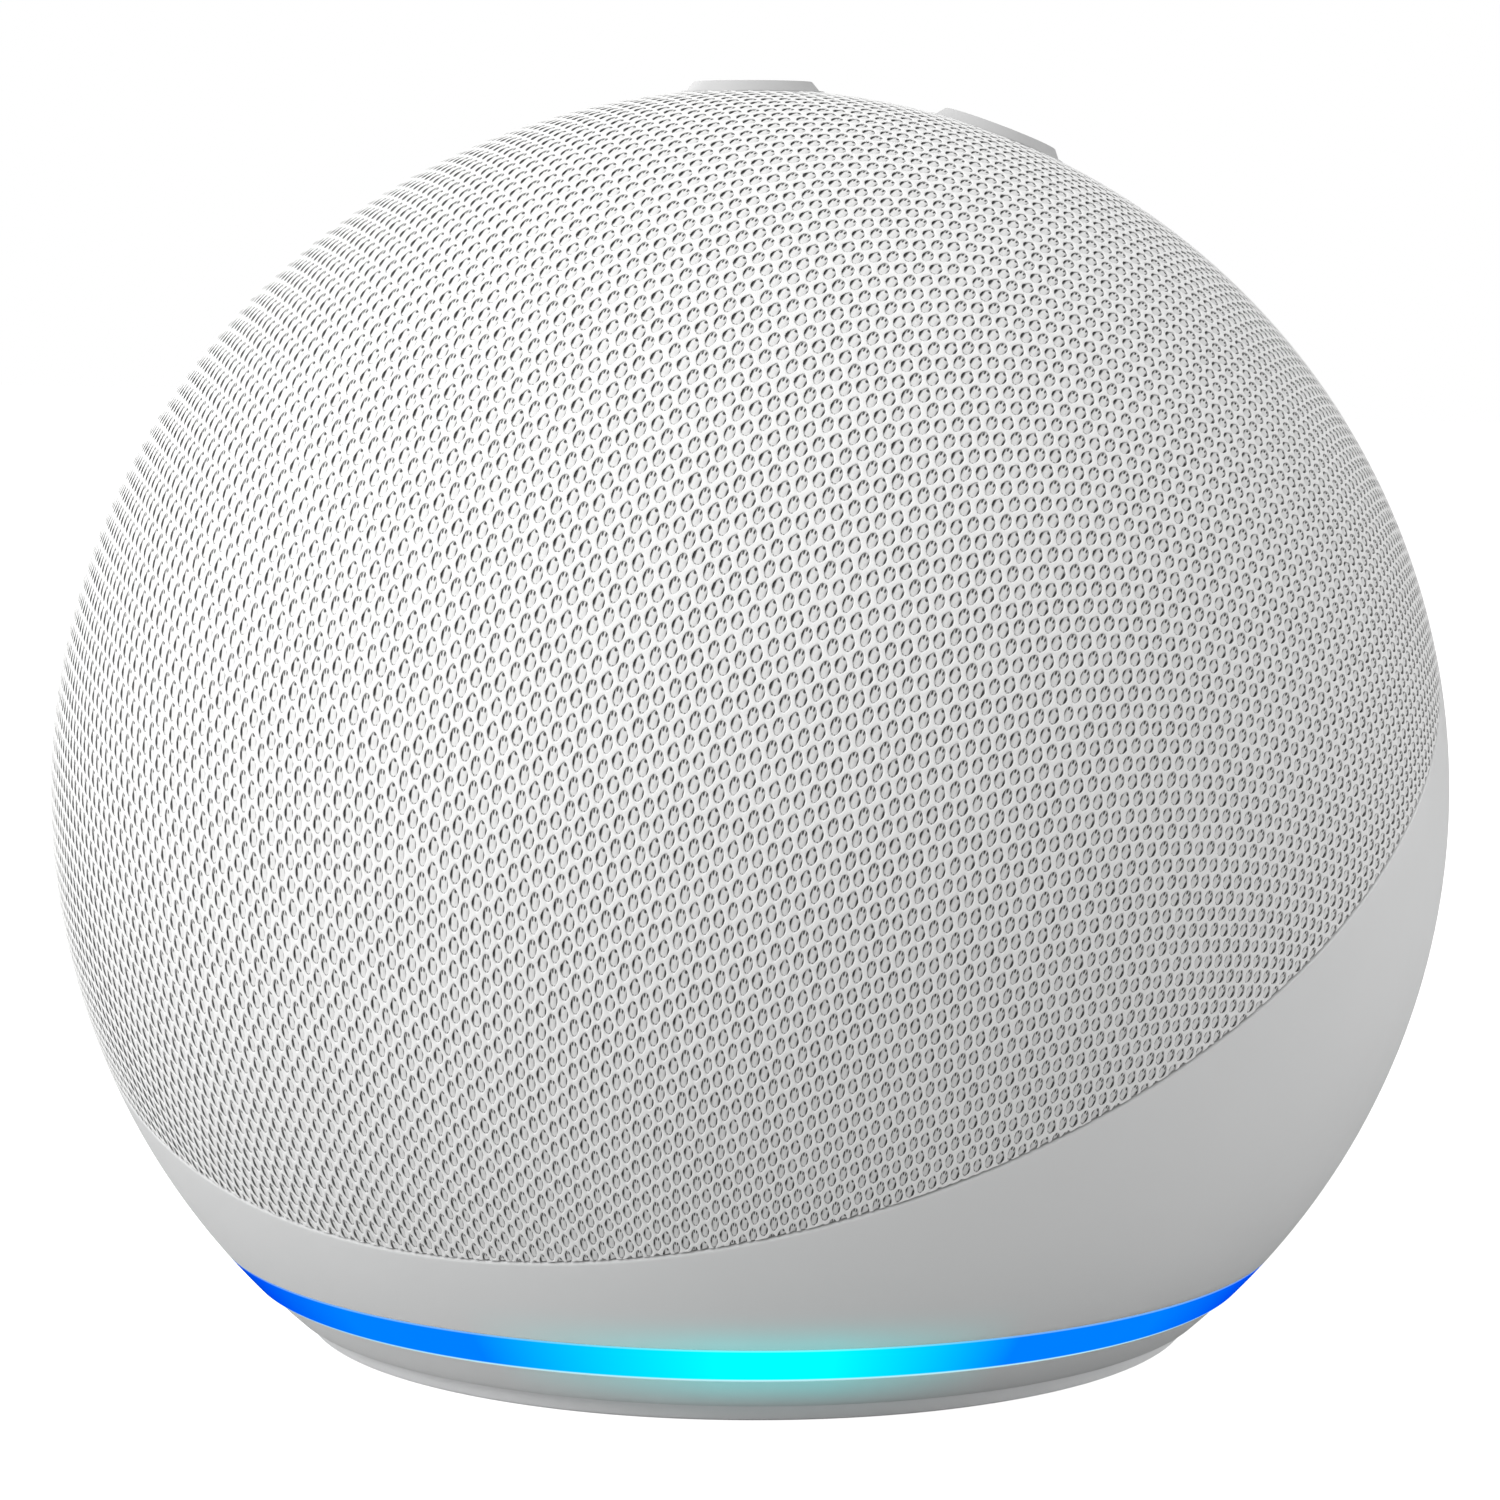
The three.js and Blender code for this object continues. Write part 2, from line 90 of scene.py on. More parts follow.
COLUMN = 0.945 * MM                      # between neighbouring columns of holes
ROW = 1.61 * MM                          # between holes of one column
STRETCH = 0.0164                         # how the cloth gathers towards its edge
EDGE_ANGLE = math.pi / 2
EDGE_REACH = SPHERE_R * (EDGE_ANGLE + STRETCH * EDGE_ANGLE ** 3) - SEAM
CELL_HALF_WIDTH = 0.815 * MM             # of a hole and its half of the threads, at its middle
CELL_TOP_HALF_WIDTH = 0.13 * MM          # and at its top and bottom
HOLE_DEPTH = 0.07 * MM
GROUND_DEPTH = 0.155 * MM                # from the net down to the grooves of the cloth behind it
RIDGE_HEIGHT = 0.09 * MM                 # of that cloth's ribs


# ---- node materials ----

class Nodes:
    """Builds one material's nodes with short calls."""

    def __init__(self, name, colour, roughness, metallic=0.0):
        self.material = bpy.data.materials.new(name)
        self.material.use_nodes = True
        self.tree = self.material.node_tree
        self.shader = self.tree.nodes["Principled BSDF"]
        self.shader.inputs["Base Color"].default_value = (*colour, 1)
        self.shader.inputs["Roughness"].default_value = roughness
        self.shader.inputs["Metallic"].default_value = metallic

    def node(self, kind, output=0, links=(), **settings):
        made = self.tree.nodes.new("ShaderNode" + kind)
        for name, value in settings.items():
            setattr(made, name, value)
        for socket, value in dict(links).items():
            self.feed(made.inputs[socket], value)
        return made.outputs[output]

    def feed(self, socket, value):
        if isinstance(value, bpy.types.NodeSocket):
            self.tree.links.new(value, socket)
        else:
            socket.default_value = value

    def math(self, operation, *values):
        return self.node("Math", links=dict(enumerate(values)), operation=operation)

    def product(self, first, *others):
        for other in others:
            first = self.math("MULTIPLY", first, other)
        return first

    def square_sum(self, first, second):
        return self.math("ADD", self.product(first, first), self.product(second, second))

    def distance(self, value, middle):
        return self.math("ABSOLUTE", self.math("SUBTRACT", value, middle))

    def ramp(self, value, start, end, low=0.0, high=1.0, kind="LINEAR"):
        """From low to high while the value goes from start to end."""
        links = {0: value, 1: start, 2: end, 3: low, 4: high}
        return self.node("MapRange", links=links, interpolation_type=kind)

    def smooth(self, value, start, end, low=0.0, high=1.0):
        return self.ramp(value, start, end, low, high, "SMOOTHSTEP")

    def fade(self, value, start, end):
        """From 1 down to 0 while the value goes from start to end."""
        return self.smooth(value, start, end, 1.0, 0.0)

    def mix(self, share, first, second):
        made = self.tree.nodes.new("ShaderNodeMix")
        made.data_type = "RGBA"
        self.feed(made.inputs["Factor"], share)
        self.feed(made.inputs["A"], first)
        self.feed(made.inputs["B"], second)
        return made.outputs["Result"]

    def shades(self, share, colour, low, high):
        """The colour, from one shade to another as the share goes from 0 to 1."""
        return self.mix(share, shade(colour, low), shade(colour, high))

    def place(self):
        return self.node("TexCoord", output="Object")

    def coordinate(self, axis, where=None):
        """The x, y or z (0, 1 or 2) of a vector, or else of the place on the object."""
        return self.node("SeparateXYZ", output=axis, links={0: where or self.place()})

    def noise(self, size, detail=3.0, where=None):
        """Noise with patches of about this size."""
        links = {"Vector": where or self.place(), "Scale": 1 / size, "Detail": detail}
        return self.node("TexNoise", output="Fac", links=links)

    def cells(self, size, **settings):
        links = {"Vector": self.place(), "Scale": 1 / size}
        return self.node("TexVoronoi", output="Distance", links=links, **settings)

    def bump(self, height, distance, strength=1.0):
        links = {"Height": height, "Distance": distance, "Strength": strength}
        self.feed(self.shader.inputs["Normal"], self.node("Bump", links=links))

    def uneven_roughness(self, size, low, high):
        self.set(Roughness=self.smooth(self.noise(size), 0.3, 0.7, low, high))

    def set(self, **values):
        """Feeds the shader's sockets, with _ for the blanks in their names."""
        for name, value in values.items():
            self.feed(self.shader.inputs[name.replace("_", " ")], value)


def shade(colour, factor):
    """A colour made darker or paler, with its alpha."""
    return (*(min(1.0, part * factor) for part in colour), 1)


RECORD_COLOURS = {entry["slot"]: tuple(entry["base_color"]) for entry in frame["record"]["materials"]}


def moulded(name, colour, roughness, grain=0.25 * MM, depth=0.004 * MM, variation=0.03):
    """Moulded plastic or rubber: slow changes of tone, and a fine spark-eroded grain."""
    n = Nodes(name, colour, roughness)
    tone = n.noise(14 * MM, 2.0)
    n.set(Base_Color=n.shades(tone, colour, 1 - variation, 1 + variation))
    n.uneven_roughness(3 * MM, roughness - 0.05, roughness + 0.05)
    n.bump(n.noise(grain, 4.0), depth)
    return n.material


def metal(name, colour, roughness, grain=0.12 * MM, stretch=14.0):
    """Bare metal with fine brushing along X."""
    n = Nodes(name, colour, roughness, 1.0)
    along = n.node("Mapping", links={"Vector": n.place(), "Scale": (1.0, stretch, stretch)})
    lines = n.noise(grain * stretch, 3.0, along)
    n.set(Base_Color=n.shades(lines, colour, 0.9, 1.06))
    n.set(Roughness=n.smooth(lines, 0.2, 0.8, roughness - 0.08, roughness + 0.1))
    n.bump(lines, 0.004 * MM)
    return n.material


def woven(name, colour, pitch):
    """A fine impregnated cloth or pressed paper."""
    n = Nodes(name, colour, 0.9)
    waves = [n.math("SINE", n.product(n.coordinate(axis), 2 * math.pi / pitch)) for axis in range(2)]
    weave = n.product(*waves)
    fleck = n.noise(pitch * 2, 4.0)
    n.set(Base_Color=n.shades(fleck, colour, 0.8, 1.2))
    n.bump(n.math("ADD", weave, fleck), 0.02 * MM)
    return n.material


def foam(name, colour):
    """Open-cell foam."""
    n = Nodes(name, colour, 0.95)
    cells = n.cells(0.35 * MM)
    n.set(Base_Color=n.shades(cells, colour, 0.6, 1.5))
    n.bump(cells, 0.12 * MM)
    return n.material


def circuit_board(name, colour):
    """Green solder mask over copper tracks, which show as paler lines."""
    n = Nodes(name, colour, 0.35)
    tracks = n.smooth(n.cells(1.6 * MM, feature="DISTANCE_TO_EDGE", distance="CHEBYCHEV"), 0.05, 0.08)
    tone = n.shades(n.noise(6 * MM), colour, 0.8, 1.1)
    n.set(Base_Color=n.mix(tracks, shade(colour, 1.8), tone))
    n.bump(tracks, 0.02 * MM)
    return n.material


def flexible_circuit(name, colour):
    """Amber film with darker copper lines."""
    n = Nodes(name, colour, 0.35)
    lines = n.math("SINE", n.product(n.coordinate(0), 2 * math.pi / (0.8 * MM)))
    copper = n.smooth(lines, 0.0, 0.4)
    n.set(Base_Color=n.shades(copper, colour, 1.1, 0.6))
    n.bump(copper, 0.01 * MM)
    return n.material


# The function and its values for each material slot of the record that keeps its CAD nodes.
INSIDE_MATERIALS = {
    "grille": (moulded, 0.6),
    "tinned_steel": (metal, 0.3),
    "silicone": (moulded, 0.7, 0.5 * MM, 0.006 * MM),
    "flex": (flexible_circuit,),
    "black_plastic": (moulded, 0.5, 0.3 * MM, 0.008 * MM, 0.15),
    "lead_black": (moulded, 0.3, 0.6 * MM, 0.003 * MM, 0.08),
    "lead_red": (moulded, 0.3, 0.6 * MM, 0.003 * MM, 0.08),
    "circuit_board": (circuit_board,),
    "reflector": (moulded, 0.45, 0.4 * MM),
    "led": (moulded, 0.3, 0.5 * MM, 0.003 * MM, 0.06),
    "thermal_pad": (moulded, 0.8, 0.4 * MM, 0.02 * MM, 0.08),
    "heat_sink": (metal, 0.4),
    "screw": (metal, 0.3, 0.08 * MM, 4.0),
    "foam": (foam,),
    "basket": (moulded, 0.45, 0.2 * MM, 0.01 * MM, 0.15),
    "surround": (moulded, 0.6, 0.5 * MM, 0.006 * MM, 0.1),
    "cone": (woven, 0.5 * MM),
    "copper": (metal, 0.3, 0.1 * MM, 20.0),
    "spider": (woven, 0.4 * MM),
    "magnet_steel": (metal, 0.35),
    "ferrite": (moulded, 0.6, 0.4 * MM, 0.02 * MM, 0.12),
}


def dress_inside():
    """Gives every CAD node that stays shown the material of its record slot."""
    made = {slot: make_material(slot, RECORD_COLOURS[slot], *values)
            for slot, (make_material, *values) in INSIDE_MATERIALS.items()}
    for part in frame["record"]["subparts"]:
        for place in frame["nodes"][part["node"]].material_slots:
            place.material = made.get(part["material_slot"], place.material)


# ---- glow of the light ring ----

GLOW_AZIMUTH = math.radians(29.5)        # where the ring turns cyan, from the front towards +X
CYAN_LEFT, CYAN_LEFT_FULL = 29.3, 3.9    # degrees to the left of there where cyan ends and is full
CYAN_RIGHT, CYAN_RIGHT_FULL = 27.3, 7.5
CYAN = (0.0, 1.0, 1.0, 1)
BLUE = (0.0, 0.208, 1.0, 1)
# Deep blue and then navy towards the ring's sides are painted shade, where the ring turns away from the camera.
BLUE_IN_PAINTED_SHADE = (0.0, 0.075, 0.9, 1)
NAVY_IN_PAINTED_SHADE = (0.0, 0.05, 0.5, 1)
BLUE_END, DEEP_BLUE_START, NAVY_START = 46.0, 64.0, 74.0     # degrees either way
LOWER_RIM = (0.07 * MM, 0.16 * MM)       # the bright edges: full to the first distance, gone at the second
UPPER_RIM = (0.02 * MM, 0.09 * MM)
UPPER_RIM_LEVEL = 0.35
RIM_LIGHT = (0.5, 0.92, 1.0, 1)

SPILL_UP = 4.0 * MM                      # how far the ring's light reaches inside the plastic
SPILL_DOWN = 2.8 * MM
SPILL_R = (28.5 * MM, 31.0 * MM)         # no light up to this far from the axis, full light from there on
SPILL_LIGHT = (0.0, 0.19, 0.19, 1)
SPILL_FILL = 0.25                        # how far the plastic's own colour turns to the tint
SPILL_TINT = (0.0, 0.75, 0.75, 1)
LIP = (0.08 * MM, 0.2 * MM)              # the lit edge under the ring, given like its rims
LIP_LIGHT = (0.22, 0.42, 0.48, 1)
UNLIT = (0.0, 0.0, 0.0, 1)


def azimuth_from_glow(n):
    """Angle round the body from the middle of the cyan stretch, in degrees."""
    side, depth = n.coordinate(0), n.coordinate(1)
    turn_x, turn_y = math.cos(GLOW_AZIMUTH), math.sin(GLOW_AZIMUTH)
    across = n.math("ADD", n.product(side, turn_x), n.product(depth, turn_y))
    towards = n.math("SUBTRACT", n.product(side, turn_y), n.product(depth, turn_x))
    return n.math("DEGREES", n.math("ARCTAN2", across, towards))


def stretch_of_cyan(n):
    """1 in the cyan stretch, falling to 0 on either side."""
    angle = azimuth_from_glow(n)
    left = n.ramp(angle, -CYAN_LEFT, -CYAN_LEFT_FULL)
    return n.product(left, n.ramp(angle, CYAN_RIGHT_FULL, CYAN_RIGHT, 1.0, 0.0))


def light_through_plastic(n):
    """Ring light scattered inside the plastic next to the ring: it fades with the distance from the ring,
    and the edge just under the ring is lit all the way round. Returns how strong it is."""
    height = n.coordinate(2)
    over = n.fade(height, RING_TOP, RING_TOP + SPILL_UP)
    under = n.smooth(height, RING_BOTTOM - SPILL_DOWN, RING_BOTTOM)
    radius = n.math("SQRT", n.square_sum(n.coordinate(0), n.coordinate(1)))
    outside = n.smooth(radius, *SPILL_R)
    near = n.product(over, over, under, outside, stretch_of_cyan(n))
    lip = n.product(n.fade(n.distance(height, RING_BOTTOM), *LIP), outside)
    glow = n.mix(near, UNLIT, SPILL_LIGHT)
    n.set(Emission_Color=n.mix(lip, glow, LIP_LIGHT), Emission_Strength=1.0)
    return near


def tinted_near_ring(n, near, tone):
    """The plastic's own colour, with less red where the ring's cyan light fills it."""
    return n.mix(n.product(near, SPILL_FILL), tone, SPILL_TINT)


def light_ring_material():
    n = Nodes("light_ring", (0.0, 0.015, 0.04), 0.4)
    angle = n.math("ABSOLUTE", azimuth_from_glow(n))
    # painted shade: the blue deepens to navy as the ring turns away from the camera
    blue = n.mix(n.ramp(angle, BLUE_END, DEEP_BLUE_START), BLUE, BLUE_IN_PAINTED_SHADE)
    blue = n.mix(n.ramp(angle, DEEP_BLUE_START, NAVY_START), blue, NAVY_IN_PAINTED_SHADE)
    body = n.mix(stretch_of_cyan(n), blue, CYAN)
    height = n.coordinate(2)
    lower_rim = n.fade(n.math("SUBTRACT", height, RING_BOTTOM), *LOWER_RIM)
    upper_rim = n.smooth(n.math("SUBTRACT", RING_TOP, height), *UPPER_RIM, UPPER_RIM_LEVEL, 0.0)
    n.set(Emission_Color=n.mix(n.math("MAXIMUM", lower_rim, upper_rim), body, RIM_LIGHT))
    n.set(Emission_Strength=1.0, Specular_IOR_Level=0.0)
    n.set(Base_Color=n.mix(n.noise(2 * MM), (0.0, 0.012, 0.03, 1), (0.0, 0.02, 0.05, 1)))
    n.bump(n.noise(0.4 * MM), 0.003 * MM)
    return n.material


# ---- materials of the outside ----

# The foot's paler tone is painted light: it makes up for the little light that reaches the foot from below.
FOOT_TONE = 1.45                         # paler than the colour in the record
BUTTON_TONE = 0.62                       # and darker


def lit_plastic(name, patch, tones, gloss_patch, gloss, grain, depth):
    """Moulded plastic beside the ring: sizes of its patches and grain, ranges of its tone and gloss."""
    colour = RECORD_COLOURS[name]
    n = Nodes(name, colour, sum(gloss) / 2)
    tone = n.shades(n.noise(patch, 2.0), colour, *tones)
    n.set(Base_Color=tinted_near_ring(n, light_through_plastic(n), tone))
    n.uneven_roughness(gloss_patch, *gloss)
    n.bump(n.noise(grain, 4.0), depth)
    return n.material


def shell_material():
    return lit_plastic("shell", 16 * MM, (0.975, 1.02), 4 * MM, (0.36, 0.44), 0.22 * MM, 0.0035 * MM)


def collar_material():
    return lit_plastic("collar", 12 * MM, (1.04, 1.09), 3 * MM, (0.38, 0.46), 0.25 * MM, 0.003 * MM)


def foot_material():
    # painted light: the rubber's colour made paler by FOOT_TONE
    colour = shade(RECORD_COLOURS["foot"], FOOT_TONE)[:3]
    n = Nodes("foot", colour, 0.8)
    n.set(Base_Color=n.shades(n.noise(5 * MM), colour, 0.96, 1.03))
    light_through_plastic(n)
    n.bump(n.noise(0.15 * MM, 4.0), 0.008 * MM)
    return n.material


def button_material():
    colour = shade(RECORD_COLOURS["button"], BUTTON_TONE)[:3]
    n = Nodes("button", colour, 0.42)
    n.set(Base_Color=n.shades(n.noise(5 * MM), colour, 0.98, 1.02))
    n.uneven_roughness(2 * MM, 0.38, 0.46)
    n.set(Specular_IOR_Level=0.35)
    n.bump(n.noise(0.22 * MM, 4.0), 0.0025 * MM)
    return n.material


def icon_material():
    n = Nodes("icon", (0.30, 0.31, 0.32), 0.5)
    n.set(Base_Color=n.mix(n.noise(0.4 * MM), (0.27, 0.28, 0.29, 1), (0.33, 0.34, 0.35, 1)))
    n.bump(n.noise(0.1 * MM), 0.003 * MM)
    return n.material


def thread_material():
    """White textured yarn: soft, matt, with slow changes of tone and fine fibres."""
    colour = RECORD_COLOURS["knit"]
    n = Nodes("knit_thread", colour, 0.85)
    slow = n.noise(9 * MM, 2.0)
    fine = n.noise(0.16 * MM)
    tone = n.product(n.math("ADD", slow, fine), 0.5)
    n.set(Base_Color=n.shades(tone, colour, 0.92, 1.04))
    n.set(Sheen_Weight=0.15, Sheen_Roughness=0.5, Specular_IOR_Level=0.25)
    n.bump(n.noise(0.09 * MM), 0.02 * MM, 0.6)
    return n.material


def place_in_cell(n):
    """Across and up from the middle of the nearest hole, in millimetres, and 0 or 1 for the kind of its
    column."""
    cloth = n.node("UVMap", uv_map="Cloth")
    across, along = n.coordinate(0, cloth), n.coordinate(1, cloth)
    column = n.math("ROUND", across)
    odd = n.math("FLOORED_MODULO", column, 2.0)
    x = n.product(n.math("SUBTRACT", across, column), COLUMN / MM)
    row = n.math("SUBTRACT", along, n.product(odd, 0.5))
    y = n.product(n.math("SUBTRACT", row, n.math("ROUND", row)), ROW / MM)
    return x, y, odd


def wall_material():
    """The same yarn down the side of a hole, darker than the threads as painted shade in the hole: darkest at
    its left and right beside the rib, paler above and below."""
    colour = RECORD_COLOURS["knit"]
    n = Nodes("knit_wall", shade(colour, 0.7)[:3], 0.95)
    _, y, _ = place_in_cell(n)
    # painted shade: darkest on the wall beside the rib, at the hole's left and right
    beside = n.fade(n.math("ABSOLUTE", y), 0.16, 0.42)
    uneven = n.noise(0.14 * MM)
    pale = n.shades(uneven, colour, 0.66, 0.96)
    dark = n.shades(uneven, colour, 0.14, 0.42)
    n.set(Base_Color=n.mix(beside, pale, dark), Specular_IOR_Level=0.1)
    return n.material


def hem_material():
    """The turned edge of the cloth, dark with painted shade down in the seam."""
    colour = RECORD_COLOURS["knit"]
    n = Nodes("knit_hem", shade(colour, 0.4)[:3], 0.95)
    tone = n.shades(n.noise(0.3 * MM), colour, 0.3, 0.5)
    n.set(Base_Color=tone, Specular_IOR_Level=0.1)
    return n.material


def oval(n, x, y, at, size):
    """0 at the middle of an oval, and 1 on its edge."""
    part_x = n.math("DIVIDE", n.math("SUBTRACT", x, at[0]), size[0])
    part_y = n.math("DIVIDE", n.math("SUBTRACT", y, at[1]), size[1])
    return n.square_sum(part_x, part_y)


def spot(n, x, y, at, size):
    """1 inside a small oval of the cell, falling to 0 outside it."""
    return n.fade(oval(n, x, y, at, size), 0.4, 1.6)


def ground_material():
    """The inner face of the knit: a pale upright rib behind each column of holes, with painted shade in the gaps
    beside it, in small openings where it is tied to the net, in two small spots at the bottom of the hole and
    towards the hole's rim. Places in the cell are in millimetres."""
    colour = RECORD_COLOURS["knit"]
    n = Nodes("knit_ground", colour, 0.9)
    x, y, odd = place_in_cell(n)
    aside = n.math("ABSOLUTE", x)
    # painted shade in the gaps beside the rib, in the openings where the cloth is tied to the net and in two small
    # spots at the bottom of the hole
    left_gap = n.product(n.fade(x, -0.30, -0.18), n.fade(n.distance(y, 0.04), 0.18, 0.46))
    right_gap = n.product(n.smooth(x, 0.23, 0.32), n.fade(n.distance(y, -0.12), 0.20, 0.46))
    gap_shade = n.math("ADD", left_gap, right_gap)
    single_tie = spot(n, x, y, at=(0.08, 0.49), size=(0.12, 0.13))
    double_tie = spot(n, aside, y, at=(0.12, 0.44), size=(0.07, 0.17))
    even = n.math("SUBTRACT", 1.0, odd)
    tie_shade = n.math("ADD", n.product(single_tie, even), n.product(double_tie, odd))
    low_spot_shade = spot(n, aside, y, at=(0.11, -0.58), size=(0.06, 0.06))
    dark = n.math("MAXIMUM", n.math("MAXIMUM", gap_shade, tie_shade), n.product(low_spot_shade, 0.7))
    # the rib's tone, a little below the threads', is partly the cloth's own grey and partly painted shade down in
    # the hole
    rib = n.shades(n.noise(0.2 * MM), colour, 0.80, 0.94)
    # painted shade darkens the rib towards the hole's rim
    out = oval(n, x, y, at=(0.0, 0.0), size=(0.42, 0.64))
    rib = n.mix(n.smooth(out, 0.60, 1.0), rib, shade(colour, 0.60))
    n.set(Base_Color=n.mix(dark, rib, shade(colour, 0.10)), Specular_IOR_Level=0.1)
    n.bump(n.noise(0.12 * MM), 0.02 * MM, 0.6)
    return n.material


# ---- meshes ----

def linked_object(name, data):
    made = bpy.data.objects.new(name, data)
    bpy.context.scene.collection.objects.link(made)
    return made


def mesh_object(name, vertices, faces, materials, face_materials=None):
    """A smooth object from an array of points and an array of faces."""
    mesh = bpy.data.meshes.new(name)
    mesh.vertices.add(len(vertices))
    mesh.vertices.foreach_set("co", np.asarray(vertices, np.float32).ravel())
    mesh.loops.add(faces.size)
    mesh.loops.foreach_set("vertex_index", faces.astype(np.int32).ravel())
    mesh.polygons.add(len(faces))
    mesh.polygons.foreach_set("loop_start", np.arange(0, faces.size, faces.shape[1], dtype=np.int32))
    for material in materials:
        mesh.materials.append(material)
    if face_materials is not None:
        mesh.polygons.foreach_set("material_index", np.asarray(face_materials, np.int32))
    mesh.update(calc_edges=True)
    mesh.validate()
    mesh.shade_smooth()
    return linked_object(name, mesh)


def closed_object(name, mesh, material, place):
    """An object from a closed bmesh, with its faces turned outwards, moved to its place."""
    bmesh.ops.recalc_face_normals(mesh, faces=mesh.faces)
    mesh.transform(place)
    data = bpy.data.meshes.new(name)
    mesh.to_mesh(data)
    mesh.free()
    data.materials.append(material)
    return linked_object(name, data)


def spread(start, end, steps):
    """Evenly spaced values from start to end, both included."""
    return [start + (end - start) * step / steps for step in range(steps + 1)]


def rounded(corners):
    """A closed outline from (radius, height, fillet) corners, with each corner turned into an arc."""
    outline = []
    for index, (radius, height, fillet) in enumerate(corners):
        point = Vector((radius, height))
        if fillet == 0:
            outline.append(point)
            continue
        before = Vector(corners[index - 1][:2]) - point
        after = Vector(corners[(index + 1) % len(corners)][:2]) - point
        half = before.angle(after) / 2
        reach = fillet / math.tan(half)
        middle = point + (before.normalized() + after.normalized()).normalized() * fillet / math.sin(half)
        start = point + before.normalized() * reach - middle
        end = point + after.normalized() * reach - middle
        for share in spread(0, 1, 5):
            outline.append(middle + start.lerp(end, share).normalized() * fillet)
    return outline


def turned(name, outline, material, segments, place=Matrix.Identity(4)):
    """A body of revolution about +Z from a closed outline of (radius, height) points."""
    turns = [(math.cos(angle), math.sin(angle)) for angle in np.arange(segments) * 2 * math.pi / segments]
    mesh = bmesh.new()
    rings = []
    for radius, height in outline:
        if radius < 1e-7:
            rings.append([mesh.verts.new((0, 0, height))])
        else:
            rings.append([mesh.verts.new((radius * x, radius * y, height)) for x, y in turns])
    for index, ring in enumerate(rings):
        following = rings[(index + 1) % len(rings)]
        if len(ring) == 1 and len(following) == 1:
            continue
        for step in range(segments):
            after = (step + 1) % segments
            corners = [ring[step % len(ring)], ring[after % len(ring)]]
            corners += [following[after % len(following)], following[step % len(following)]]
            mesh.faces.new(tuple(dict.fromkeys(corners)))    # those on the axis fall together
    made = closed_object(name, mesh, material, place)
    made.data.shade_smooth()
    made.data.set_sharp_from_angle(angle=math.radians(40))
    return made


def ball_radius(height, inset):
    """Radius of the body's slice at a height above the table, less an inset."""
    return math.sqrt(SPHERE_R ** 2 - (height - CENTRE.z) ** 2) - inset


def aimed(direction):
    """A frame on the sphere's centre whose +Z is the direction given."""
    return Matrix.Translation(CENTRE) @ direction.to_track_quat("Z", "Y").to_matrix().to_4x4()


# ---- buttons ----

# Each button's direction out of the body, against the way it is pressed.
BUTTON_AXES = {joint["child"]: -Vector(joint["axis"]).normalized()
               for joint in frame["joints"] if joint["child"].startswith("button_")}

CAP_TOP = SPHERE_R + BUTTON_HEIGHT       # heights of a cap are counted from the ball's centre
CAP_TOP_R = 4.68 * MM
CAP_R = 5.1 * MM                         # where its top edge starts to round off
CAP_ROOT_R = 5.0 * MM
DISH_R = 4.2 * MM
DISH_DEPTH = 0.05 * MM
FLANGE_R = 5.8 * MM
FLANGE_TOP = 46.1 * MM
FLANGE_BOTTOM = 45.6 * MM
STEM_R = 1.5 * MM
STEM_BOTTOM = 45.3 * MM
STEM_CHAMFER = 0.1 * MM
PRINT_DEPTH = 0.08 * MM                  # the icons go down through the dish from the height of its rim


def button_cap(name, direction, material):
    """The stem, the flange and the cap, with soft edges and a shallow dish for the finger."""
    stem = [(0, STEM_BOTTOM), (STEM_R - STEM_CHAMFER, STEM_BOTTOM),
            (STEM_R, STEM_BOTTOM + STEM_CHAMFER), (STEM_R, FLANGE_BOTTOM)]
    side = rounded([
        (FLANGE_R, FLANGE_BOTTOM, 0), (FLANGE_R, FLANGE_TOP, 0.1 * MM), (CAP_ROOT_R, FLANGE_TOP, 0.2 * MM),
        (CAP_R, SPHERE_R - 0.25 * MM, 0.3 * MM), (CAP_TOP_R, CAP_TOP, 0.12 * MM),
    ])
    dish = [(DISH_R * share, CAP_TOP - DISH_DEPTH * (1 - share ** 2) ** 2) for share in np.linspace(1, 0, 8)]
    made = turned(name + "_cap", stem + side + dish, material, 128, aimed(direction))
    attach(made, name)
    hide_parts(name)


def button_icon(name, direction, material):
    """The thin printed shapes on a button's top."""
    mesh = bmesh.new()
    for loop in ICONS[name]:
        low = [mesh.verts.new((x * MM, y * MM, CAP_TOP - PRINT_DEPTH)) for x, y in loop]
        high = [mesh.verts.new((x * MM, y * MM, CAP_TOP)) for x, y in loop]
        mesh.faces.new(high)
        mesh.faces.new(low[::-1])
        for index in range(len(loop)):
            after = (index + 1) % len(loop)
            mesh.faces.new([low[index], low[after], high[after], high[index]])
    back = Vector((0, 1, 0))
    across = back.cross(direction).normalized()
    turn = Matrix((across, direction.cross(across), direction)).transposed().to_4x4()
    made = closed_object(name + "_icon", mesh, material, Matrix.Translation(CENTRE) @ turn)
    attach(made, name)


def bar(width, height, turn=0.0, at=(0.0, 0.0)):
    """A rounded bar in millimetres."""
    radius = min(width, height) / 2
    points = []
    for corner_x, corner_y, start in ((1, 1, 0), (-1, 1, 90), (-1, -1, 180), (1, -1, 270)):
        for degrees in spread(start, start + 90, 8):
            angle = math.radians(degrees)
            x = corner_x * (width / 2 - radius) + radius * math.cos(angle)
            y = corner_y * (height / 2 - radius) + radius * math.sin(angle)
            points.append((x, y))
    kept = [point for index, point in enumerate(points) if math.dist(point, points[index - 1]) > 1e-6]
    cosine, sine = math.cos(math.radians(turn)), math.sin(math.radians(turn))
    return [(at[0] + x * cosine - y * sine, at[1] + x * sine + y * cosine) for x, y in kept]


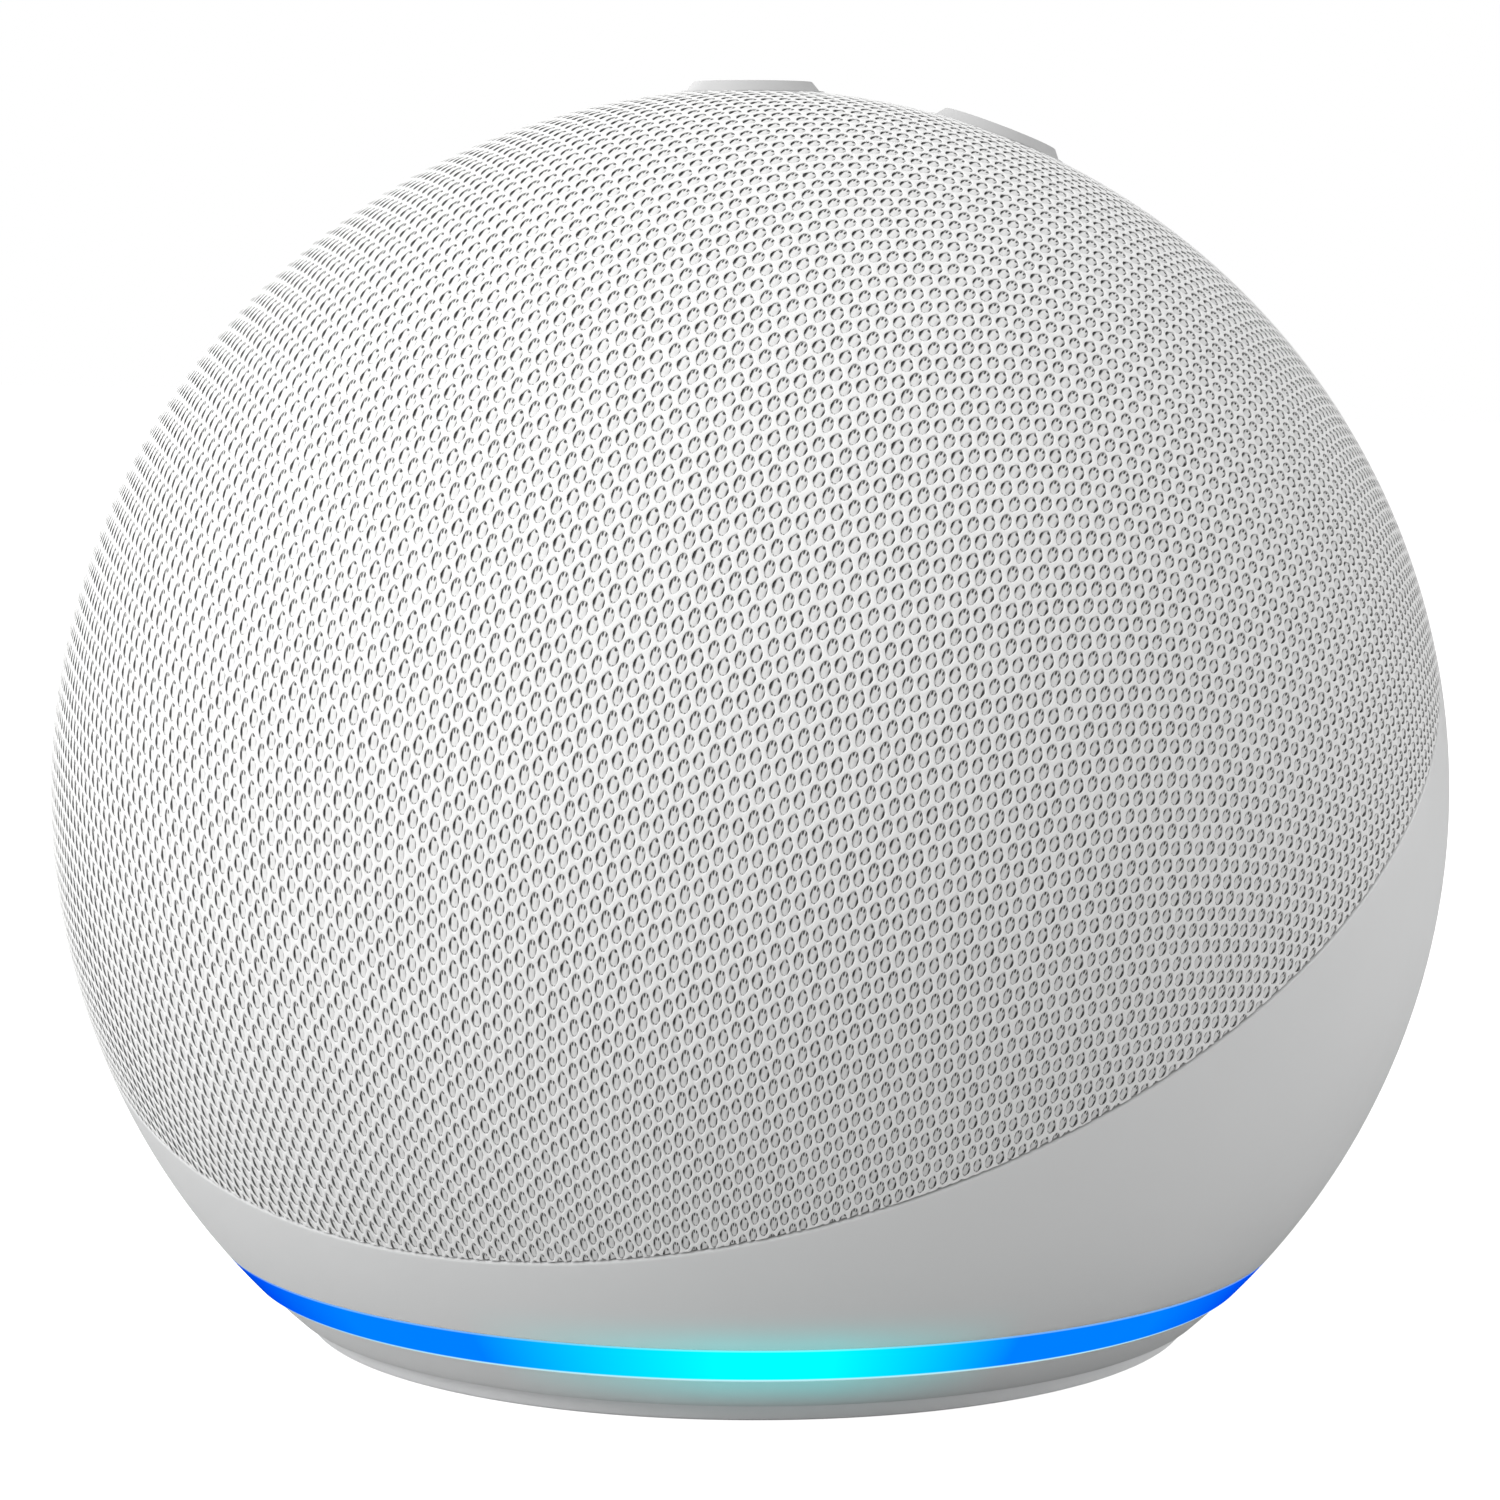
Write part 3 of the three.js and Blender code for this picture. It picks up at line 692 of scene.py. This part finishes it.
def arc_band(radius, width, start, end, at=(0.0, 0.0)):
    """Part of a ring in millimetres, between two angles in degrees."""
    outer, inner = [], []
    for degrees in spread(start, end, 24):
        angle = math.radians(degrees)
        for points, reach in ((outer, radius + width / 2), (inner, radius - width / 2)):
            points.append((at[0] + reach * math.cos(angle), at[1] + reach * math.sin(angle)))
    return outer + inner[::-1]


STROKE = 0.42                            # millimetres, like every size of the icons
THIN_STROKE = 0.24
SIGN_WIDTH = 2.6
PLUS_ARM = 1.05
CAPSULE_AT = (0, 0.45)

ICONS = {
    "button_right": [bar(SIGN_WIDTH, STROKE), bar(STROKE, PLUS_ARM, at=(0, 0.79)),
                     bar(STROKE, PLUS_ARM, at=(0, -0.79))],
    "button_left": [bar(SIGN_WIDTH, STROKE)],
    "button_front": [arc_band(0.62, STROKE, 0, 180), arc_band(0.62, STROKE, 180, 360)],
    "button_rear": [bar(0.9, 1.7, at=CAPSULE_AT), arc_band(0.95, THIN_STROKE, 200, 340, at=CAPSULE_AT),
                    bar(THIN_STROKE, 0.6, at=(0, -0.85)), bar(0.26, 3.4, turn=-45)],
}


def make_buttons():
    plastic, print_colour = button_material(), icon_material()
    for name, direction in BUTTON_AXES.items():
        button_cap(name, direction, plastic)
        button_icon(name, direction, print_colour)


# ---- the net ----

def on_sphere(flat, height):
    """Where points of the flat cloth lie once it is stretched over the body, raised by a height."""
    reach = np.maximum(np.hypot(flat[..., 0], flat[..., 1]), 1e-9)
    angle = reach / SPHERE_R
    for _ in range(6):                   # Newton's method on angle + STRETCH * angle ** 3 = reach / SPHERE_R
        miss = angle + STRETCH * angle ** 3 - reach / SPHERE_R
        angle = angle - miss / (1 + 3 * STRETCH * angle ** 2)
    outward = np.cos(angle)[..., None] * np.array(COVER_AXIS)
    for axis, side in enumerate((COVER_RIGHT, COVER_UP)):
        outward = outward + (np.sin(angle) * flat[..., axis] / reach)[..., None] * np.array(side)
    return np.array(CENTRE) + (SPHERE_R + height)[..., None] * outward


def trimmed_to_edge(flat):
    """Flat points pulled back onto the cloth's edge, and which ones were outside it."""
    reach = np.hypot(flat[..., 0], flat[..., 1])
    outside = reach > EDGE_REACH
    scale = np.where(outside, EDGE_REACH / np.maximum(reach, 1e-9), 1.0)
    return flat * scale[..., None], outside


def trimmed_to_buttons(points):
    """Points pushed out to the rims of the button holes, and which ones were in a hole."""
    in_hole = np.zeros(points.shape[:-1], bool)
    out = points.copy()
    arm = points - np.array(CENTRE)
    for axis in map(np.array, BUTTON_AXES.values()):
        along = arm @ axis
        aside = arm - along[..., None] * axis
        distance = np.linalg.norm(aside, axis=-1)
        inside = (distance < BUTTON_HOLE_R) & (along > 0)
        scale = BUTTON_HOLE_R / np.maximum(distance, 1e-9)
        moved = np.array(CENTRE) + along[..., None] * axis + aside * scale[..., None]
        out[inside] = moved[inside]
        in_hole |= inside
    return out, in_hole


SIDES = 16                               # points round a hole
RINGS = 4                                # from the middle of the threads down to the bottom of a hole
HOLE_HALF_HEIGHT = 0.665 * MM
POINTED_HOLE = {"half_width": 0.43 * MM, "top_power": 1.45, "bottom_power": 1.9}
BLUNT_HOLE = {"half_width": 0.385 * MM, "top_power": 2.2, "bottom_power": 1.7}
SHOULDER_SHARE = 0.72                    # of the way from the middle of a thread to the rim
SHOULDER_DROP = 0.006 * MM
RIM_DROP = 0.030 * MM
WALL_TAPER = 0.97
UNEVEN_SIZE = 0.03                       # standard deviations from hole to hole and along an outline
UNEVEN_OUTLINE = 0.02
UNEVEN_PLACE = 0.010 * MM
UNEVEN_HEIGHT = 0.004 * MM


def cell_centres():
    """Flat centres of the holes, and 0 or 1 for the two kinds of column."""
    columns = int(EDGE_REACH / COLUMN) + 2
    rows = int(EDGE_REACH / ROW) + 2
    found = []
    for column in range(-columns, columns + 1):
        for row in range(-rows, rows + 1):
            x, y = column * COLUMN, (row + 0.5 * (column % 2)) * ROW
            if math.hypot(x, y) < EDGE_REACH + CELL_HALF_WIDTH:
                found.append((x, y, column % 2))
    return np.array(found)


def cell_outline():
    """The hexagon that one hole and its half of the threads take up, with SIDES points."""
    corner = np.array((CELL_HALF_WIDTH, 0.0))
    shoulder = np.array((CELL_TOP_HALF_WIDTH, ROW / 2))
    slope = [tuple(corner + (shoulder - corner) * share) for share in (0, 1 / 3, 2 / 3, 1)]
    quarter = slope + [(0.0, ROW / 2)]
    upper = quarter + [(-x, y) for x, y in quarter[-2::-1]]
    return np.array(upper + [(-x, -y) for x, y in upper[1:-1]])


def hole_outline(half_width, top_power, bottom_power):
    """An oval with its own squareness in its upper and lower half."""
    angles = np.arange(SIDES) * 2 * math.pi / SIDES
    power = np.where(np.sin(angles) >= 0, top_power, bottom_power)
    sides = []
    for half, wave in ((half_width, np.cos(angles)), (HOLE_HALF_HEIGHT, np.sin(angles))):
        side = half * np.sign(wave) * np.abs(wave) ** (2 / power)
        sides.append(np.where(np.abs(wave) < 1e-9, 0, side))
    return np.stack(sides, 1)


def net_rings(cells):
    """Flat points and heights of each cell's rings: middle of the threads, their shoulder, the rim of the
    hole and the bottom of its wall."""
    count = len(cells)
    random_source = np.random.default_rng(7)

    def uneven(*shape):
        return random_source.standard_normal(shape).clip(-2, 2)

    is_pointed = (cells[:, 2] == 0)[:, None, None]
    rim = np.where(is_pointed, hole_outline(**POINTED_HOLE), hole_outline(**BLUNT_HOLE))
    rim = rim * (1 + UNEVEN_SIZE * uneven(count, 1, 2))
    rim = rim * (1 + UNEVEN_OUTLINE * uneven(count, SIDES, 1))
    rim = rim + UNEVEN_PLACE * uneven(count, 1, 2)
    boundary = np.broadcast_to(cell_outline(), (count, SIDES, 2))
    shoulder = boundary * (1 - SHOULDER_SHARE) + rim * SHOULDER_SHARE
    rings = np.stack([boundary, shoulder, rim, rim * WALL_TAPER], 1) + cells[:, None, None, :2]
    heights = np.array([0.0, -SHOULDER_DROP, -RIM_DROP, -HOLE_DEPTH])
    heights = np.broadcast_to(heights[None, :, None], rings.shape[:3]).copy()
    heights[:, 1:3] += UNEVEN_HEIGHT * uneven(count, 2, SIDES)
    return rings, heights


def smooth_normals(points, faces):
    """Area-weighted normals of the points of a mesh of quadrangles."""
    corner = points[faces]
    face_normals = np.cross(corner[:, 2] - corner[:, 0], corner[:, 3] - corner[:, 1])
    normals = np.zeros_like(points)
    for axis in range(3):
        for place in range(4):
            normals[:, axis] += np.bincount(faces[:, place], face_normals[:, axis], len(points))
    return normals / np.maximum(np.linalg.norm(normals, axis=1), 1e-20)[:, None]


def trimmed_away(faces, outside, in_hole):
    """Which faces lie wholly past the cloth's edge or in a button hole."""
    return outside.reshape(-1)[faces].all(1) | in_hole.reshape(-1)[faces].all(1)


def add_uv(mesh, name, loop_coordinates):
    layer = mesh.uv_layers.new(name=name)
    layer.uv.foreach_set("vector", np.asarray(loop_coordinates, np.float32).ravel())


def cloth_piece(name, points, faces, flat, normals, materials, face_materials=None):
    """One mesh cut out of a larger one, with its flat layout as coordinates."""
    used, inverse = np.unique(faces, return_inverse=True)
    local = inverse.reshape(faces.shape)
    made = mesh_object(name, points[used], local, materials, face_materials)
    loops = np.zeros(len(made.data.loops), np.int32)
    made.data.loops.foreach_get("vertex_index", loops)
    layout = flat[used][loops]
    add_uv(made.data, "Cloth", layout / (COLUMN, ROW))
    low = layout.min(0)
    margin = 0.004
    add_uv(made.data, "OFBake", margin + (1 - 2 * margin) * (layout - low) / (layout.max(0) - low).max())
    made.data.normals_split_custom_set_from_vertices(normals[used])
    return made


BLOCKS = 3                               # the net is made in this many blocks each way
MERGE_GRID = 2e-6                        # points of neighbouring cells on one square of this grid are joined
GRID_SHIFT = 0.37e-6                     # keeps the points off the limits between squares


def cells_joined(rings):
    """Numbers of the points of all rings, with the outer points that neighbouring cells share made one."""
    count = len(rings)
    index = np.arange(count * RINGS * SIDES).reshape(count, RINGS, SIDES)
    keys = np.round((rings[:, 0] + GRID_SHIFT) / MERGE_GRID).astype(np.int64).reshape(-1, 2)
    _, first, inverse = np.unique(keys, axis=0, return_index=True, return_inverse=True)
    index[:, 0] = index[:, 0].reshape(-1)[first][inverse.reshape(-1)].reshape(count, SIDES)
    return index


def make_net(materials):
    """The net in BLOCKS by BLOCKS pieces, of two materials: the threads and the walls of the holes."""
    cells = cell_centres()
    rings, heights = net_rings(cells)
    flat, outside = trimmed_to_edge(rings)
    points, in_hole = trimmed_to_buttons(on_sphere(flat, heights))
    index = cells_joined(rings)
    following = np.roll(index, -1, axis=2)
    faces = np.stack([index[:, :-1], following[:, :-1], following[:, 1:], index[:, 1:]], -1)
    is_wall = np.broadcast_to((np.arange(RINGS - 1) == RINGS - 2)[None, :, None], faces.shape[:3])
    blocks = np.clip(((cells[:, :2] / EDGE_REACH + 1) / 2 * BLOCKS).astype(int), 0, BLOCKS - 1)
    block = np.broadcast_to((blocks[:, 1] * BLOCKS + blocks[:, 0])[:, None, None], faces.shape[:3])
    faces, is_wall, block = faces.reshape(-1, 4), is_wall.reshape(-1), block.reshape(-1)
    points, flat = points.reshape(-1, 3), flat.reshape(-1, 2)
    kept = ~trimmed_away(faces, outside, in_hole)
    faces, is_wall, block = faces[kept], is_wall[kept], block[kept]
    normals = smooth_normals(points, faces)
    pieces = []
    for number in range(BLOCKS * BLOCKS):
        mine = block == number
        piece = cloth_piece(f"knit_net_{number + 1}", points, faces[mine], flat, normals, materials,
                            is_wall[mine])
        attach(piece, "housing")
        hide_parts("knit_cover")
        pieces.append(piece)
    return pieces


def make_ground(material):
    """The cloth behind the net, ribbed upright: one rib behind each column of holes."""
    step_x, step_y = COLUMN / 4, ROW * 0.75
    half_x, half_y = int(EDGE_REACH / step_x) + 1, int(EDGE_REACH / step_y) + 1
    x = np.arange(-half_x, half_x + 1) * step_x
    y = np.arange(-half_y, half_y + 1) * step_y
    flat = np.stack(np.meshgrid(x, y, indexing="ij"), -1)
    rib = 0.5 + 0.5 * np.cos(2 * math.pi * flat[..., 0] / COLUMN)
    height = -GROUND_DEPTH + RIDGE_HEIGHT * rib ** 0.8
    flat, outside = trimmed_to_edge(flat)
    points, in_hole = trimmed_to_buttons(on_sphere(flat, height))
    index = np.arange(in_hole.size).reshape(in_hole.shape)
    faces = np.stack([index[:-1, :-1], index[1:, :-1], index[1:, 1:], index[:-1, 1:]], -1).reshape(-1, 4)
    faces = faces[~trimmed_away(faces, outside, in_hole)]
    points, flat = points.reshape(-1, 3), flat.reshape(-1, 2)
    piece = cloth_piece("knit_ground", points, faces, flat, smooth_normals(points, faces), [material])
    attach(piece, "housing")
    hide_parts("knit_cover")
    return piece


HEM_SECTION = ((0.05, 0.70), (0.05, 0.34), (0.07, 0.28), (0.12, 0.25),
               (0.20, 0.25), (0.26, 0.28), (0.29, 0.34), (0.29, 0.70))   # in from the edge and down, in mm


def make_hem(material):
    """The turned edge of the cloth, a thin bead down in the seam."""
    outline = []
    for aside, depth in HEM_SECTION:
        radius = SPHERE_R - depth * MM
        outline.append((radius * math.cos(aside * MM / radius), radius * math.sin(aside * MM / radius)))
    made = turned("knit_hem", outline, material, 512, aimed(COVER_AXIS))
    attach(made, "housing")
    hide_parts("knit_cover")
    return made


def make_knit():
    net = make_net([thread_material(), wall_material()])
    hem = make_hem(hem_material())
    cloth = make_ground(ground_material())


# ---- the shell ----

EDGE_FILLET = 0.22 * MM                  # round edge of the shell along the seam


def latitude_of_edge(azimuth, radius, offset):
    """Latitude where a ball about the centre meets the seam's plane, lowered by an offset."""
    level = math.sin(COVER_TILT) * math.cos(azimuth)
    upright = math.cos(COVER_TILT)
    return -math.atan2(level, upright) - math.asin(offset / (radius * math.hypot(level, upright)))


def shell_outline(azimuth, bottom):
    """(radius from the centre, latitude) round the shell's section at one azimuth, outside upwards first."""
    inner = SPHERE_R - SHELL_WALL

    def low(radius):
        return math.asin((bottom - CENTRE.z) / radius)

    start = low(SPHERE_R) + 0.1 * MM / SPHERE_R
    end = latitude_of_edge(azimuth, SPHERE_R, SEAM + EDGE_FILLET)
    rows = [(SPHERE_R, latitude) for latitude in spread(start, end, 56)]
    for turn in spread(0, math.pi / 2, 5)[1:]:
        radius = SPHERE_R - EDGE_FILLET * (1 - math.cos(turn))
        offset = SEAM + EDGE_FILLET * (1 - math.sin(turn))
        rows.append((radius, latitude_of_edge(azimuth, radius, offset)))
    rows += [(radius, latitude_of_edge(azimuth, radius, SEAM)) for radius in (SPHERE_R - 0.9 * MM, inner)]
    down = spread(latitude_of_edge(azimuth, inner, SEAM), low(inner), 14)
    rows += [(inner, latitude) for latitude in down[1:]]
    across_wall = (inner + SHELL_WALL / 2, SPHERE_R - 0.5 * MM, SPHERE_R - 0.1 * MM)
    rows += [(radius, low(radius)) for radius in across_wall]
    return rows


def make_shell_blank(material):
    """The shell before the inlet's recess is cut, as a closed skin round its wall."""
    points = []
    for index in range(ROUND):
        azimuth = 2 * math.pi * index / ROUND
        for radius, latitude in shell_outline(azimuth, RING_TOP + HAIRLINE):
            flat = radius * math.cos(latitude)
            height = CENTRE.z + radius * math.sin(latitude)
            points.append((flat * math.sin(azimuth), -flat * math.cos(azimuth), height))
    index = np.arange(len(points)).reshape(ROUND, -1)
    right, after = np.roll(index, -1, axis=0), np.roll(index, -1, axis=1)
    both = np.roll(right, -1, axis=1)
    faces = np.stack([index, right, both, after], -1).reshape(-1, 4)
    return mesh_object("shell", np.array(points), faces, [material])


def boolean(target, cutter, operation):
    """Joins the cutter to the target, or cuts the target with it, and deletes the cutter."""
    modifier = target.modifiers.new(operation, "BOOLEAN")
    modifier.operation = operation
    modifier.object = cutter
    modifier.solver = "EXACT"
    bpy.context.view_layer.update()
    evaluated = target.evaluated_get(bpy.context.evaluated_depsgraph_get())
    result = bpy.data.meshes.new_from_object(evaluated)
    target.modifiers.remove(modifier)
    target.data = result
    bpy.data.objects.remove(cutter)


INLET_LOW, INLET_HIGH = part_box("power_inlet")
INLET_AXIS = Vector((0, 0, (INLET_LOW.z + INLET_HIGH.z) / 2))
INLET_RECESS_R = 5.2 * MM
INLET_SIDE_WALL = 1.6 * MM
INLET_FLOOR_WALL = 1.3 * MM
INLET_FLOOR = INLET_HIGH.y + 0.3 * MM + INLET_FLOOR_WALL
INLET_HOLE_R = 3.6 * MM                  # hole for the jack in the recess's floor
CUP_INSET = 0.5 * MM                     # the recess's walls end inside the shell's own wall
PAST_SHELL = 55 * MM


def cylinder(radius, start, end):
    """Outline of a cylinder between two distances from the body's axis."""
    return [(0, start), (radius, start), (radius, end), (0, end)]


def along_back(name, outline, material):
    """A body of revolution about the inlet's axis, which points out of the back."""
    turn = Matrix.Translation(INLET_AXIS) @ Matrix.Rotation(-math.pi / 2, 4, "X")
    return turned(name, outline, material, 96, turn)


def make_shell():
    """The shell with the inlet's cup joined to it, and then the recess and the hole cut out."""
    material = shell_material()
    shell = make_shell_blank(material)
    under_floor = INLET_FLOOR - INLET_FLOOR_WALL
    cup_outline = cylinder(INLET_RECESS_R + INLET_SIDE_WALL, under_floor, PAST_SHELL)
    cup = along_back("cup", cup_outline, material)
    reach = SPHERE_R - CUP_INSET
    arc = [(reach * math.cos(a), reach * math.sin(a)) for a in np.linspace(-math.pi / 2, math.pi / 2, 65)]
    boolean(cup, turned("inside", arc, material, 192, Matrix.Translation(CENTRE)), "INTERSECT")
    boolean(shell, cup, "UNION")
    recess = along_back("recess", cylinder(INLET_RECESS_R, INLET_FLOOR, PAST_SHELL), material)
    boolean(shell, recess, "DIFFERENCE")
    hole = along_back("hole", cylinder(INLET_HOLE_R, under_floor - INLET_FLOOR_WALL, PAST_SHELL), material)
    boolean(shell, hole, "DIFFERENCE")
    shell.data.set_sharp_from_angle(angle=math.radians(32))
    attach(shell, "housing")
    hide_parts("lower_shell")


# ---- light ring, collar and foot ----

RING_INNER_R = 33.4 * MM
COLLAR_STEP = 0.3 * MM                   # the collar lies this far inside the ring's curve
COLLAR_INNER_R = 20 * MM
FOOT_FLARE = 0.6 * MM                    # wider at the top than at the table
FOOT_FILLET = 0.35 * MM


def band_outline(top, bottom, inner, inset, chamfer_in, chamfer_down, steps):
    """Section of a ring that follows the ball, from its upper inner corner outwards and down."""
    heights = spread(top - chamfer_down, bottom + chamfer_down, steps)
    outer = [(ball_radius(height, inset), height) for height in heights]
    upper, lower = (ball_radius(height, inset) - chamfer_in for height in (top, bottom))
    return [(inner, top), (upper, top), *outer, (lower, bottom), (inner, bottom)]


def make_ring():
    """The light guide, which lights nothing by itself."""
    outline = band_outline(RING_TOP, RING_BOTTOM, RING_INNER_R, 0.0, 0.05 * MM, 0.06 * MM, 10)
    made = turned("light_guide", outline[::-1], light_ring_material(), ROUND)
    made.visible_diffuse = made.visible_glossy = False    # its spill is in the plastic's own material
    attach(made, "housing")
    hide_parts("light_ring")


def make_collar():
    top = RING_BOTTOM - HAIRLINE
    outline = band_outline(top, COLLAR_BOTTOM, COLLAR_INNER_R, COLLAR_STEP, 0.1 * MM, 0.1 * MM, 8)
    made = turned("collar", outline, collar_material(), ROUND)
    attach(made, "housing")
    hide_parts("bottom_cover")


def make_foot():
    top = COLLAR_BOTTOM - HAIRLINE
    side = [(FOOT_R, 0, FOOT_FILLET), (FOOT_R + FOOT_FLARE, top, 0.1 * MM)]
    outline = rounded([(0, 0, 0), *side, (0, top, 0)])
    made = turned("foot", outline, foot_material(), ROUND)
    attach(made, "housing")
    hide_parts("rubber_foot")


# ---- floor, lights and camera ----

VIEW_AZIMUTH = math.radians(28.61)
VIEW_ELEVATION = math.radians(7.01)
VIEW_DISTANCE = 330 * MM
VIEW_PITCH = math.radians(0.470)
VIEW_ROLL = math.radians(0.253)
VIEW_LENS = 109.54                       # millimetres
VIEW_SENSOR = 36
LIGHT_DISTANCE = 0.9
WORLD_GREY = (0.45, 0.45, 0.45, 1)
FLOOR_GREY = (0.50, 0.50, 0.50, 1)
FLOOR_LIFT = 0.9                         # the floor's own light, which only the camera sees
FLOOR_HALF = 1.5
WHITE = (1, 1, 1, 1)


def direction_to(azimuth, elevation):
    """Unit vector from the body; azimuth 0 is the front and 90 the +X side."""
    flat = math.cos(elevation)
    return Vector((flat * math.sin(azimuth), -flat * math.cos(azimuth), math.sin(elevation)))


def make_camera():
    data = bpy.data.cameras.new("camera")
    data.lens = VIEW_LENS
    data.sensor_width = VIEW_SENSOR
    data.clip_start, data.clip_end = 0.01, 20
    camera = linked_object("camera", data)
    back = direction_to(VIEW_AZIMUTH, VIEW_ELEVATION)
    turn = (-back).to_track_quat("-Z", "Y").to_matrix().to_4x4()
    turn = turn @ Matrix.Rotation(VIEW_PITCH, 4, "X") @ Matrix.Rotation(VIEW_ROLL, 4, "Z")
    camera.matrix_world = Matrix.Translation(CENTRE + back * VIEW_DISTANCE) @ turn
    bpy.context.scene.camera = camera


def soft_light(name, azimuth, elevation, size, power):
    """A round light aimed at the body, from a direction in degrees."""
    data = bpy.data.lights.new(name, "AREA")
    data.shape = "DISK"
    data.size = size
    data.energy = power
    light = linked_object(name, data)
    away = direction_to(math.radians(azimuth), math.radians(elevation))
    light.location = CENTRE + away * LIGHT_DISTANCE
    light.rotation_mode = "QUATERNION"
    light.rotation_quaternion = away.to_track_quat("Z", "Y")


def make_world():
    """An even surround, white to the camera."""
    world = bpy.data.worlds.new("studio")
    bpy.context.scene.world = world
    world.use_nodes = True
    nodes, links = world.node_tree.nodes, world.node_tree.links
    path, mix = nodes.new("ShaderNodeLightPath"), nodes.new("ShaderNodeMix")
    mix.data_type = "RGBA"
    links.new(path.outputs["Is Camera Ray"], mix.inputs["Factor"])
    mix.inputs["A"].default_value = WORLD_GREY
    mix.inputs["B"].default_value = WHITE
    links.new(mix.outputs["Result"], nodes["Background"].inputs["Color"])


def floor_material():
    """Grey to the light that falls on it, and white to the camera."""
    material = bpy.data.materials.new("floor")
    material.use_nodes = True
    nodes, links = material.node_tree.nodes, material.node_tree.links
    nodes.remove(nodes["Principled BSDF"])
    kinds = ("BsdfDiffuse", "Emission", "LightPath", "Math", "AddShader")
    diffuse, white, path, lift, add = (nodes.new("ShaderNode" + kind) for kind in kinds)
    diffuse.inputs["Color"].default_value = FLOOR_GREY
    white.inputs["Color"].default_value = WHITE
    lift.operation = "MULTIPLY"
    lift.inputs[1].default_value = FLOOR_LIFT
    links.new(path.outputs["Is Camera Ray"], lift.inputs[0])
    links.new(lift.outputs[0], white.inputs["Strength"])
    links.new(diffuse.outputs[0], add.inputs[0])
    links.new(white.outputs[0], add.inputs[1])
    links.new(add.outputs[0], nodes["Material Output"].inputs["Surface"])
    return material


def make_floor():
    corners = [(x * FLOOR_HALF, y * FLOOR_HALF, 0.0) for x, y in ((-1, -1), (1, -1), (1, 1), (-1, 1))]
    floor = mesh_object("floor", corners, np.array([[0, 1, 2, 3]]), [floor_material()])


def make_studio():
    bpy.context.scene.view_settings.view_transform = "Standard"
    make_world()
    make_floor()
    soft_light("key", azimuth=-30, elevation=40, size=0.8, power=8.4)
    soft_light("back_right", azimuth=125, elevation=8, size=0.8, power=3.9)
    soft_light("right", azimuth=100, elevation=0, size=0.5, power=0.55)
    soft_light("back_left", azimuth=-115, elevation=20, size=0.8, power=2.0)
    make_camera()


# ---- everything together ----

make_studio()
dress_inside()
make_knit()
make_shell()
make_ring()
make_collar()
make_foot()
make_buttons()
